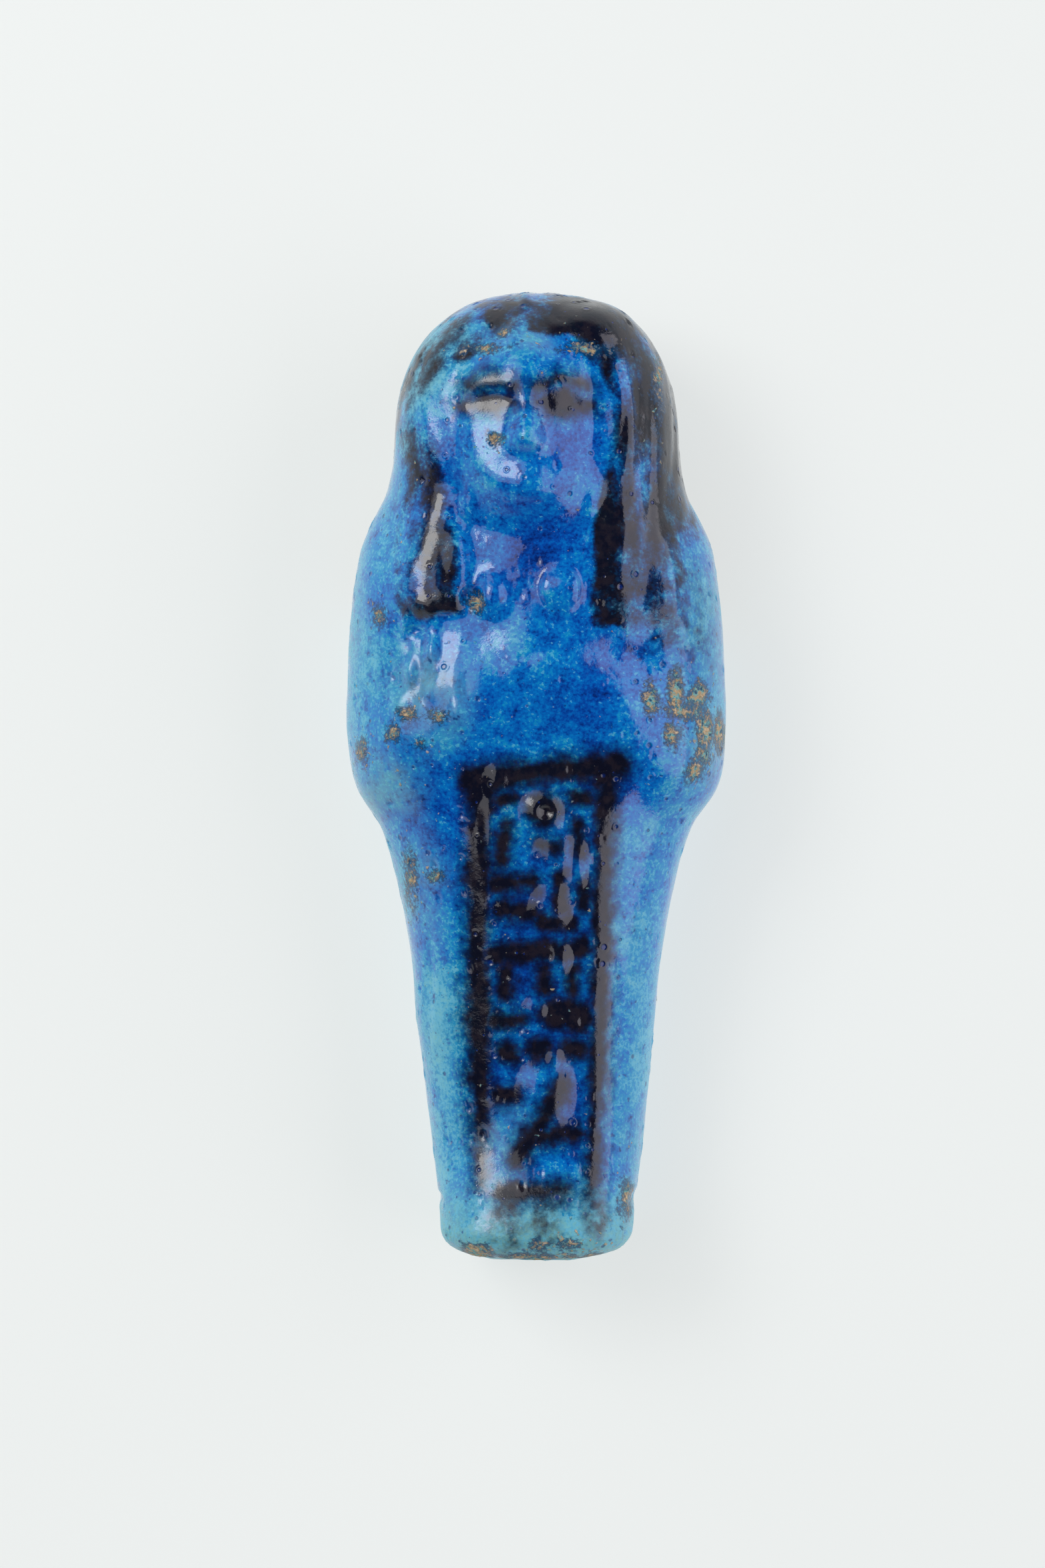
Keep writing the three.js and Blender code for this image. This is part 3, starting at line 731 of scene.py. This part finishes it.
def figure_mesh(sizes):
    """The figure's fine mesh, with its paint and glaze as values at its points."""
    points, up, angles = skin_grid(sizes)
    rings, columns = up.shape
    on_front = smooth(np.sin(angles), *FRONT)
    rise = up * LENGTH
    points = glazed(points, points[..., 0], rise, on_front)
    normals = grid_normals(points)
    x = points[..., 0]
    height = relief(points, x, rise, on_front, sizes) + pits(points, sizes.pits)
    fine = points + normals * height[..., None]
    fine[..., 2] = np.maximum(fine[..., 2], 0)
    hollow = hollowness(fine, grid_normals(fine))
    fields = {
        "ink": ink(points, x, rise, on_front),
        "wig_paint": wig_paint(points, x, rise, on_front),
        "glaze_depth": glaze_depth(points, normals, x, rise, on_front, hollow),
        "smudge": on_front * np.clip(spots(x, rise, SMUDGES), 0, 1),
        "worn": worn(points, x, rise, on_front),
        "weathered": weathering(points, x, rise, on_front),
    }
    ends = np.stack([fine[0].mean(axis=0), fine[-1].mean(axis=0)])
    vertices = np.concatenate([fine.reshape(-1, 3), ends]) * MM
    quads, bottom_fan, top_fan = join_grid(rings, columns)
    mesh = bpy.data.meshes.new("figurine")
    faces = quads.tolist() + bottom_fan.tolist() + top_fan.tolist()
    mesh.from_pydata(vertices.tolist(), [], faces)
    for name, values in fields.items():
        values = np.concatenate([values.ravel(), [values[0].mean(), values[-1].mean()]])
        mesh.attributes.new(name, "FLOAT", "POINT").data.foreach_set("value", values)
    mesh.polygons.foreach_set("use_smooth", np.ones(len(faces), bool))
    along = path_of(*points[:, columns // 2].T)
    unwrap(mesh, rings, columns, (along + MAP_END) / (along[-1] + 2 * MAP_END))
    mesh.update()
    return mesh


# Materials. Their lengths are in millimetres, as the form's are.

GLAZE_IOR = 1.52  # refractive index, about that of glass
TABLE_ROUGHNESS = 0.6


class Nodes:
    """Adds nodes to a tree and wires them up. A value may be a number, a colour or a socket."""

    def __init__(self, tree):
        self.tree = tree

    def add(self, kind, inputs=None, **settings):
        node = self.tree.nodes.new(kind)
        for name, value in settings.items():
            setattr(node, name, value)
        for name, value in (inputs or {}).items():
            self.feed(node.inputs[name], value)
        return node

    def feed(self, socket, value):
        if isinstance(value, bpy.types.NodeSocket):
            self.tree.links.new(value, socket)
        elif isinstance(value, (tuple, list)) and len(value) == 3 and socket.type == "RGBA":
            socket.default_value = (*value, 1)
        else:
            socket.default_value = value

    def math(self, operation, *values):
        node = self.add("ShaderNodeMath", operation=operation)
        for socket, value in zip(node.inputs, values):
            self.feed(socket, value)
        return node.outputs[0]

    def stir(self, value, cloud, strength):
        """The value, raised and lowered by a cloud that runs from 0 to 1."""
        return self.math("MULTIPLY_ADD", self.math("SUBTRACT", cloud, 0.5), strength, value)

    def blend(self, a, b, share, most=1):
        """Colour a, turned into b by a share of 0 to 1, and at 1 by most of the way."""
        if most != 1:
            share = self.math("MULTIPLY", share, most)
        node = self.add("ShaderNodeMix", data_type="RGBA")
        for socket, value in zip((node.inputs[0], node.inputs[6], node.inputs[7]), (share, a, b)):
            self.feed(socket, value)
        return node.outputs[2]

    def step(self, value, start, end, low=0.0, high=1.0):
        """A soft step from low to high as value goes from start to end."""
        limits = {"From Min": start, "From Max": end, "To Min": low, "To Max": high}
        return self.add(
            "ShaderNodeMapRange", inputs={"Value": value, **limits},
            interpolation_type="SMOOTHSTEP",
        ).outputs[0]

    def ramp(self, value, stops):
        """The colour at a value, from stops of (value, colour)."""
        node = self.add("ShaderNodeValToRGB", inputs={"Fac": value})
        bar = node.color_ramp
        while len(bar.elements) < len(stops):
            bar.elements.new(0.5)
        for element, (place, colour) in zip(bar.elements, stops):
            element.position = place
            element.color = (*colour, 1)
        return node.outputs[0]

    def attribute(self, name):
        return self.add("ShaderNodeAttribute", attribute_name=name).outputs["Fac"]

    def group(self, tree, **inputs):
        """A node group's outputs. Its inputs are given by name, in small letters."""
        node = self.add("ShaderNodeGroup", node_tree=tree)
        for name, value in inputs.items():
            self.feed(node.inputs[name.replace("_", " ").title()], value)
        return node.outputs


def new_group(name, inputs, outputs):
    """An empty node group with the sockets given as (name, kind, default)."""
    tree = bpy.data.node_groups.new(name, "ShaderNodeTree")
    for title, kind, default in inputs:
        socket = tree.interface.new_socket(title, in_out="INPUT", socket_type=kind)
        if default is not None:
            socket.default_value = default
    for title, kind in outputs:
        tree.interface.new_socket(title, in_out="OUTPUT", socket_type=kind)
    nodes = Nodes(tree)
    start = nodes.add("NodeGroupInput").outputs
    end = nodes.add("NodeGroupOutput").inputs
    return nodes, start, end


def mottle_group():
    """Cloudy unevenness of a fired surface, from broad clouds down to fine grain."""
    nodes, start, end = new_group(
        "Mottle",
        [("Vector", "NodeSocketVector", None), ("Size", "NodeSocketFloat", 1.0)],
        [("Cloud", "NodeSocketFloat"), ("Grain", "NodeSocketFloat")],
    )
    scale = nodes.math("DIVIDE", 1, start["Size"])
    for name, times, detail in (("Cloud", 1, 4), ("Grain", 4.3, 3)):
        speck = nodes.add(
            "ShaderNodeTexNoise",
            inputs={
                "Vector": start["Vector"],
                "Scale": nodes.math("MULTIPLY", scale, times),
                "Detail": float(detail),
                "Roughness": 0.6,
            },
        )
        nodes.feed(end[name], speck.outputs["Fac"])
    return nodes.tree


def bubbles_group():
    """Small round pits left by burst bubbles: a mask and a height."""
    nodes, start, end = new_group(
        "Bubbles",
        [
            ("Vector", "NodeSocketVector", None),
            ("Spacing", "NodeSocketFloat", 1.0),
            ("Share", "NodeSocketFloat", 0.3),
        ],
        [("Mask", "NodeSocketFloat"), ("Height", "NodeSocketFloat")],
    )
    cells = nodes.add(
        "ShaderNodeTexVoronoi",
        inputs={"Vector": start["Vector"], "Scale": nodes.math("DIVIDE", 1, start["Spacing"])},
    )
    pick = nodes.add("ShaderNodeSeparateColor", inputs={"Color": cells.outputs["Color"]})
    chosen = nodes.math("LESS_THAN", pick.outputs[0], start["Share"])
    # Each pit has its own radius, from 0.1 to 0.26 of the spacing
    size = nodes.math("MULTIPLY_ADD", pick.outputs[1], 0.16, 0.1)
    reach = nodes.math("DIVIDE", cells.outputs["Distance"], size)
    hole = nodes.math("MULTIPLY", nodes.step(reach, 1.0, 0.45), chosen)
    rim = nodes.math("MULTIPLY", nodes.step(reach, 1.9, 1.15), chosen)
    nodes.feed(end["Mask"], hole)
    height = nodes.math("MULTIPLY_ADD", rim, 0.25, nodes.math("MULTIPLY", hole, -1))
    nodes.feed(end["Height"], height)
    return nodes.tree


def specks_group():
    """Scattered uneven specks, more of them where Share is higher."""
    nodes, start, end = new_group(
        "Specks",
        [
            ("Vector", "NodeSocketVector", None),
            ("Size", "NodeSocketFloat", 1.0),
            ("Share", "NodeSocketFloat", 0.3),
        ],
        [("Mask", "NodeSocketFloat")],
    )
    grain = nodes.add(
        "ShaderNodeTexNoise",
        inputs={
            "Vector": start["Vector"],
            "Scale": nodes.math("DIVIDE", 1, start["Size"]),
            "Detail": 1.5,
            "Roughness": 0.5,
        },
    ).outputs["Fac"]
    least = nodes.math("MULTIPLY_ADD", start["Share"], -0.3, 0.78)
    most = nodes.math("ADD", least, 0.07)
    nodes.feed(end["Mask"], nodes.step(grain, least, most))
    return nodes.tree


def ragged_group():
    """Turns a distance in to an edge into a mask, with the edge broken up by grain."""
    nodes, start, end = new_group(
        "Ragged Edge",
        [
            ("Distance", "NodeSocketFloat", 0.0),
            ("Grain", "NodeSocketFloat", 0.5),
            ("Raggedness", "NodeSocketFloat", 0.5),
            ("Softness", "NodeSocketFloat", 0.3),
        ],
        [("Mask", "NodeSocketFloat")],
    )
    shift = nodes.math("MULTIPLY", nodes.math("SUBTRACT", start["Grain"], 0.5), start["Raggedness"])
    moved = nodes.math("ADD", start["Distance"], shift)
    low = nodes.math("MULTIPLY", start["Softness"], -1)
    nodes.feed(end["Mask"], nodes.step(moved, low, start["Softness"]))
    return nodes.tree


class Skin:
    """The textures, groups and values that the glaze, the paint and the wear share."""

    def __init__(self, nodes):
        self.nodes = nodes
        place = nodes.add("ShaderNodeTexCoord").outputs["Object"]
        self.millimetres = nodes.add(
            "ShaderNodeVectorMath", operation="SCALE", inputs={"Vector": place, "Scale": 1 / MM}
        ).outputs[0]
        self.mottle, self.speckle, self.edge = mottle_group(), specks_group(), ragged_group()
        bubbles = bubbles_group()
        self.broad = self.texture(self.mottle, size=5.0)
        self.fine = self.texture(self.mottle, size=1.5)
        self.pit = self.texture(bubbles, spacing=1.6, share=0.38)
        self.pinhole = self.texture(bubbles, spacing=0.7, share=0.25)
        self.weathered = nodes.attribute("weathered")
        # The glaze lies unevenly, from broad clouds down to grain
        depth = nodes.attribute("glaze_depth")
        depth = nodes.stir(depth, self.broad["Cloud"], 0.7)
        depth = nodes.stir(depth, self.fine["Cloud"], 0.9)
        self.depth = nodes.stir(depth, self.fine["Grain"], 0.9)

    def texture(self, tree, **inputs):
        """A node group's outputs at each place on the figure."""
        return self.nodes.group(tree, vector=self.millimetres, **inputs)

    def specks(self, size, share):
        """A mask of specks."""
        return self.texture(self.speckle, size=size, share=share)["Mask"]

    def ragged(self, distance, grain, raggedness, softness):
        """A mask with a ragged edge where the distance is 0."""
        return self.nodes.group(
            self.edge, distance=distance, grain=grain, raggedness=raggedness, softness=softness
        )["Mask"]


def glaze_colour(nodes, skin, tint):
    """Pale where the glaze lies thin and cobalt where it lies thick, with weathering and specks."""
    colour = nodes.ramp(
        skin.depth,
        (
            (0.02, tint["thin"]), (0.28, tint["turquoise"]), (0.5, tint["blue"]),
            (0.75, tint["cobalt"]), (1.0, tint["deep"]),
        ),
    )
    green = nodes.math("MULTIPLY", skin.weathered, nodes.step(skin.broad["Grain"], 0.2, 0.52))
    colour = nodes.blend(colour, tint["green"], green, most=0.9)
    pale = skin.specks(size=0.42, share=nodes.step(skin.depth, 0.9, 0.1))
    colour = nodes.blend(colour, tint["frit"], pale, most=0.55)
    dark = skin.specks(size=0.75, share=0.3)
    return nodes.blend(colour, tint["deep"], dark, most=0.6)


def painted(nodes, skin, tint, colour):
    """The colour under black and brown paint, which is soft where it has bled into the glaze."""
    near_ink = nodes.attribute("ink")
    stroke = skin.ragged(near_ink, skin.fine["Cloud"], raggedness=2.0, softness=0.6)
    wider = nodes.math("ADD", near_ink, 0.8)
    halo = skin.ragged(wider, skin.fine["Cloud"], raggedness=3.0, softness=1.1)
    density = nodes.stir(nodes.attribute("wig_paint"), skin.fine["Cloud"], 1.1)
    density = nodes.stir(density, skin.fine["Grain"], 0.5)
    wig = nodes.step(density, 0.3, 0.85)
    wash = nodes.step(density, 0.02, 0.6)
    bleed = nodes.math(
        "MAXIMUM", nodes.math("MULTIPLY", halo, 0.8), nodes.math("MULTIPLY", wash, 0.75)
    )
    broken = nodes.step(skin.fine["Cloud"], 0.25, 0.7)
    smudge = nodes.math("MULTIPLY", nodes.attribute("smudge"), broken)
    colour = nodes.blend(colour, tint["bled"], bleed)
    colour = nodes.blend(colour, tint["brown_ink"], smudge, most=0.85)
    browned = nodes.step(skin.broad["Grain"], 0.42, 0.62)
    paint = nodes.blend(tint["ink"], tint["brown_ink"], browned)
    return nodes.blend(colour, paint, nodes.math("MAXIMUM", stroke, wig), most=0.96)


def worn_through(nodes, skin, tint, colour):
    """The colour with dark pits, and with sandy body where the glaze is gone, and a mask of the
    body."""
    holes = nodes.math("MAXIMUM", skin.pit["Mask"], skin.pinhole["Mask"])
    colour = nodes.blend(colour, tint["deep"], holes, most=0.7)
    near_worn = nodes.attribute("worn")
    wider = nodes.math("ADD", near_worn, 0.5)
    rim = skin.ragged(wider, skin.fine["Grain"], raggedness=1.6, softness=0.25)
    colour = nodes.blend(colour, tint["rim"], rim, most=0.9)
    bare = skin.ragged(near_worn, skin.fine["Grain"], raggedness=2.0, softness=0.3)
    share = nodes.math("MULTIPLY_ADD", nodes.step(near_worn, -2.4, 0.3), 0.34, 0.16)
    share = nodes.math("MULTIPLY_ADD", skin.weathered, 0.24, share)
    crumbs = skin.specks(size=0.62, share=share)
    crumbs = nodes.math("MULTIPLY", crumbs, nodes.step(skin.broad["Cloud"], 0.42, 0.56))
    bare = nodes.math("MAXIMUM", bare, nodes.math("MULTIPLY", crumbs, 0.8))
    body = nodes.ramp(
        skin.texture(skin.mottle, size=0.7)["Cloud"],
        (
            (0.34, tint["rim"]), (0.44, tint["green"]), (0.52, tint["ochre"]),
            (0.64, tint["sand"]),
        ),
    )
    return nodes.blend(colour, body, bare), bare


def glaze_roughness(nodes, skin, bare):
    """Glossy, duller where the glaze lies thin or is weathered, and matt where it is gone."""
    shine = nodes.math("MULTIPLY_ADD", nodes.step(skin.broad["Grain"], 0.45, 0.7), 0.06, 0.07)
    dull = nodes.math("MULTIPLY", nodes.step(skin.depth, 0.42, 0.1), 0.25)
    dull = nodes.math("MULTIPLY_ADD", skin.weathered, 0.16, dull)
    return nodes.math("MAXIMUM", nodes.math("ADD", shine, dull), nodes.math("MULTIPLY", bare, 0.7))


def glaze_height(nodes, skin, bare):
    """Height of what is finer than the mesh, in millimetres."""
    grit = nodes.math("MULTIPLY_ADD", skin.weathered, 0.035, 0.005)
    grit = nodes.math("MULTIPLY_ADD", nodes.step(skin.depth, 0.55, 0.2), 0.022, grit)
    crust = nodes.math("MULTIPLY", bare, skin.fine["Grain"])
    height = 0.0
    for texture, tall in (
        (skin.broad["Cloud"], 0.07), (skin.fine["Cloud"], 0.025), (skin.fine["Grain"], grit),
        (skin.pit["Height"], 0.08), (skin.pinhole["Height"], 0.01), (crust, 0.2),
    ):
        height = nodes.math("MULTIPLY_ADD", texture, tall, height)
    return height


def faience_material(colours):
    """Blue glaze over a sandy body, with black paint under the glaze."""
    material = bpy.data.materials.new("glazed faience")
    material.use_nodes = True
    material.node_tree.nodes.clear()
    nodes = Nodes(material.node_tree)
    skin = Skin(nodes)
    tint = {name: tuple(getattr(colours, name)) for name in UshabtiColours.__annotations__}
    colour = painted(nodes, skin, tint, glaze_colour(nodes, skin, tint))
    colour, bare = worn_through(nodes, skin, tint, colour)
    height = glaze_height(nodes, skin, bare)
    bump = nodes.add("ShaderNodeBump", inputs={"Strength": 1.0, "Distance": MM, "Height": height})
    shader = nodes.add(
        "ShaderNodeBsdfPrincipled",
        inputs={
            "Base Color": colour, "Roughness": glaze_roughness(nodes, skin, bare),
            "Normal": bump.outputs[0], "IOR": GLAZE_IOR,
        },
    )
    end = nodes.add("ShaderNodeOutputMaterial")
    nodes.feed(end.inputs["Surface"], shader.outputs[0])
    return material


def table_material(studio):
    """The plain pale table, lit a little from below as a light table is."""
    material = bpy.data.materials.new("pale table")
    material.use_nodes = True
    shader = material.node_tree.nodes["Principled BSDF"]
    shader.inputs["Base Color"].default_value = (*studio.table_colour, 1)
    shader.inputs["Roughness"].default_value = TABLE_ROUGHNESS
    shader.inputs["Emission Color"].default_value = (*studio.light_colour, 1)
    shader.inputs["Emission Strength"].default_value = studio.table_glow
    return material


# The stage, in metres

TABLE_HALF = 1.6
SOFTBOX_TARGET = (0, 0, 0.012)
# By the setting that gives its brightness: name, place, target, width, height, colour
SOFTBOXES = {
    "key": ("left softbox", (-0.48, 0.3, 0.6), SOFTBOX_TARGET, 0.42, 0.3, (1, 0.99, 0.97)),
    "wash": ("left wall", (-0.5, 0.3, 0.72), SOFTBOX_TARGET, 1.1, 0.75, (1, 0.98, 1)),
    "fill": ("right softbox", (0.755, 0, 0.49), (0, 0, 0.01), 1.3, 0.74, (0.96, 0.92, 1)),
}
WALLS_END = 0.12  # how steeply up, where 0 is level and 1 is straight up
CEILING_STARTS = 0.5
PICTURE_MIDDLE = (-0.0015, -0.001)  # the place that the camera is straight above
FIGURE_HEIGHT = 0.012  # height at which the picture's size is taken
SENSOR = 36  # height of the camera's sensor in millimetres
NEAREST = 0.01  # the camera sees nothing nearer than this


def link(thing):
    """Adds an object to the scene, and gives it back."""
    bpy.context.scene.collection.objects.link(thing)
    return thing


def softbox(name, place, target, wide, tall, colour, radiance):
    """A soft lamp of a given size, which looks at a target and whose face is that bright."""
    lamp = bpy.data.lights.new(name, "AREA")
    lamp.shape = "RECTANGLE"
    lamp.size = wide
    lamp.size_y = tall
    lamp.energy = radiance * math.pi * wide * tall
    lamp.color = colour
    box = link(bpy.data.objects.new(name, lamp))
    box.location = place
    x, y, z = np.array(target) - np.array(place)
    box.rotation_euler = (math.atan2(math.hypot(x, y), -z), 0, math.atan2(-x, y))


def studio_world(studio):
    """Dim overhead and pale towards the horizon, as in a white-walled room."""
    world = bpy.data.worlds.new("room")
    bpy.context.scene.world = world
    world.use_nodes = True
    world.node_tree.nodes.clear()
    nodes = Nodes(world.node_tree)
    way = nodes.add("ShaderNodeTexCoord").outputs["Generated"]
    height = nodes.add("ShaderNodeSeparateXYZ", inputs={"Vector": way}).outputs["Z"]
    strength = nodes.step(height, WALLS_END, CEILING_STARTS, studio.walls, studio.ceiling)
    light = nodes.add(
        "ShaderNodeBackground", inputs={"Color": tuple(studio.light_colour), "Strength": strength}
    )
    end = nodes.add("ShaderNodeOutputWorld")
    nodes.feed(end.inputs["Surface"], light.outputs[0])


# The add-on's settings, operators and panel


def colour_property(name, description, default):
    return FloatVectorProperty(
        name=name, description=description, default=default, subtype="COLOR", min=0, max=1
    )


class UshabtiSizes(PropertyGroup):
    """Fineness of the mesh, and how strong its relief is"""

    rings: IntProperty(
        name="Rings", description="Rings of the fine mesh, from the sole to the crown",
        default=346, min=40,
    )
    sole_rings: IntProperty(
        name="Sole rings", description="Rings across the flat sole", default=14, min=2
    )
    columns: IntProperty(
        name="Columns", description="Points round each ring", default=272, min=24
    )
    back_density: FloatProperty(
        name="Back density", description="Density of the mesh on the plain back",
        default=0.4, min=0.1, max=1, subtype="FACTOR",
    )
    pits: IntProperty(
        name="Pits", description="Larger bubbles burst in the glaze", default=420, min=0
    )
    lumps: FloatProperty(
        name="Lumps", description="Unevenness of the hand-pressed form, where 1 is the usual",
        default=1.0, min=0, max=3, subtype="FACTOR",
    )
    strands: FloatProperty(
        name="Strands", description="Height of the wig's strands", default=0.14 * MM,
        min=0, max=MM, precision=5, unit="LENGTH",
    )


class UshabtiColours(PropertyGroup):
    """Colours of the glaze, the paint and the body"""

    thin: colour_property("Thin glaze", "Glaze where it is thinnest", (0.13, 0.46, 0.6))
    turquoise: colour_property("Turquoise", "Glaze on edges and sides", (0.008, 0.3, 0.57))
    blue: colour_property("Blue", "Glaze over most of the figure", (0.001, 0.175, 0.57))
    cobalt: colour_property("Cobalt", "Glaze where it lies thick", (0.001, 0.07, 0.4))
    deep: colour_property("Deep", "Glaze in pools and pits", (0.001, 0.022, 0.18))
    green: colour_property("Green", "Weathered glaze", (0.18, 0.47, 0.47))
    frit: colour_property("Frit", "Pale specks in the glaze", (0.1, 0.45, 0.66))
    bled: colour_property("Bled paint", "Paint that has bled into the glaze", (0.001, 0.008, 0.06))
    ink: colour_property("Paint", "Black manganese paint", (0.004, 0.004, 0.01))
    brown_ink: colour_property("Brown paint", "Thinner manganese paint", (0.014, 0.01, 0.014))
    rim: colour_property("Rim", "Stained glaze round a worn spot", (0.003, 0.05, 0.13))
    ochre: colour_property("Ochre", "Stained body under lost glaze", (0.4, 0.27, 0.13))
    sand: colour_property("Sand", "Bare sandy body", (0.64, 0.5, 0.34))


class UshabtiStudio(PropertyGroup):
    """The camera, the lights and the table"""

    camera_height: FloatProperty(
        name="Camera height", description="Camera above the table", default=0.56,
        min=0.2, unit="LENGTH",
    )
    frame_tall: FloatProperty(
        name="Frame height", description="Height of the picture at the figure",
        default=0.1624, min=0.05, unit="LENGTH",
    )
    key: FloatProperty(
        name="Left softbox", description="Brightness of the softbox's face", default=6.2, min=0
    )
    wash: FloatProperty(
        name="Left wall", description="Brightness of the wall behind it", default=1.4, min=0
    )
    fill: FloatProperty(
        name="Right softbox", description="Brightness of the softbox's face", default=2.0, min=0
    )
    walls: FloatProperty(
        name="Walls", description="Brightness of the room near the horizon", default=0.8, min=0
    )
    ceiling: FloatProperty(
        name="Ceiling", description="Brightness of the room overhead", default=0.03, min=0
    )
    table_glow: FloatProperty(
        name="Table glow", description="Light that comes through the table", default=0.64, min=0
    )
    table_colour: colour_property("Table", "Colour of the table", (0.25, 0.26, 0.255))
    light_colour: colour_property(
        "Room light", "Colour of the light from the table and walls", (0.965, 1, 0.985)
    )


class USHABTI_OT_figurine(Operator):
    """Adds the glazed figure in place of its plain solid"""

    bl_idname = "ushabti.figurine"
    bl_label = "Figurine"

    def execute(self, context):
        mesh = figure_mesh(context.scene.ushabti_sizes)
        mesh.materials.append(faience_material(context.scene.ushabti_colours))
        piece = link(bpy.data.objects.new("glazed_figurine", mesh))
        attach(piece, "root")
        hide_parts("figurine")
        return {"FINISHED"}


class USHABTI_OT_stage(Operator):
    """Adds the pale table, the lights and the camera that looks straight down"""

    bl_idname = "ushabti.stage"
    bl_label = "Stage"

    def execute(self, context):
        studio = context.scene.ushabti_studio
        mesh = bpy.data.meshes.new("table")
        half = TABLE_HALF
        corners = [(-half, -half, 0), (half, -half, 0), (half, half, 0), (-half, half, 0)]
        mesh.from_pydata(corners, [], [(0, 1, 2, 3)])
        mesh.materials.append(table_material(studio))
        link(bpy.data.objects.new("table", mesh))
        for setting, box in SOFTBOXES.items():
            softbox(*box, getattr(studio, setting))
        studio_world(studio)
        lens = bpy.data.cameras.new("camera")
        lens.sensor_fit = "VERTICAL"
        lens.sensor_height = SENSOR
        lens.lens = (studio.camera_height - FIGURE_HEIGHT) / studio.frame_tall * SENSOR
        lens.clip_start = NEAREST
        camera = link(bpy.data.objects.new("camera", lens))
        camera.location = (*PICTURE_MIDDLE, studio.camera_height)
        context.scene.camera = camera
        context.scene.view_settings.view_transform = "Standard"
        return {"FINISHED"}


class USHABTI_PT_panel(Panel):
    """Lists the settings and the operators that use them"""

    bl_idname = "USHABTI_PT_panel"
    bl_label = "Ushabti"
    bl_space_type = "VIEW_3D"
    bl_region_type = "UI"
    bl_category = "Ushabti"

    def draw(self, context):
        for operator, group in (
            (USHABTI_OT_figurine, context.scene.ushabti_sizes),
            (None, context.scene.ushabti_colours),
            (USHABTI_OT_stage, context.scene.ushabti_studio),
        ):
            column = self.layout.column(align=True)
            for name in group.__annotations__:
                column.prop(group, name)
            if operator:
                column.operator(operator.bl_idname)


classes = (
    UshabtiSizes, UshabtiColours, UshabtiStudio, USHABTI_OT_figurine, USHABTI_OT_stage,
    USHABTI_PT_panel,
)


def register():
    for cls in classes:
        bpy.utils.register_class(cls)
    bpy.types.Scene.ushabti_sizes = PointerProperty(type=UshabtiSizes)
    bpy.types.Scene.ushabti_colours = PointerProperty(type=UshabtiColours)
    bpy.types.Scene.ushabti_studio = PointerProperty(type=UshabtiStudio)


def unregister():
    del bpy.types.Scene.ushabti_studio
    del bpy.types.Scene.ushabti_colours
    del bpy.types.Scene.ushabti_sizes
    for cls in reversed(classes):
        bpy.utils.unregister_class(cls)


def main():
    register()
    bpy.ops.ushabti.figurine()
    bpy.ops.ushabti.stage()


if __name__ == "__main__":
    main()
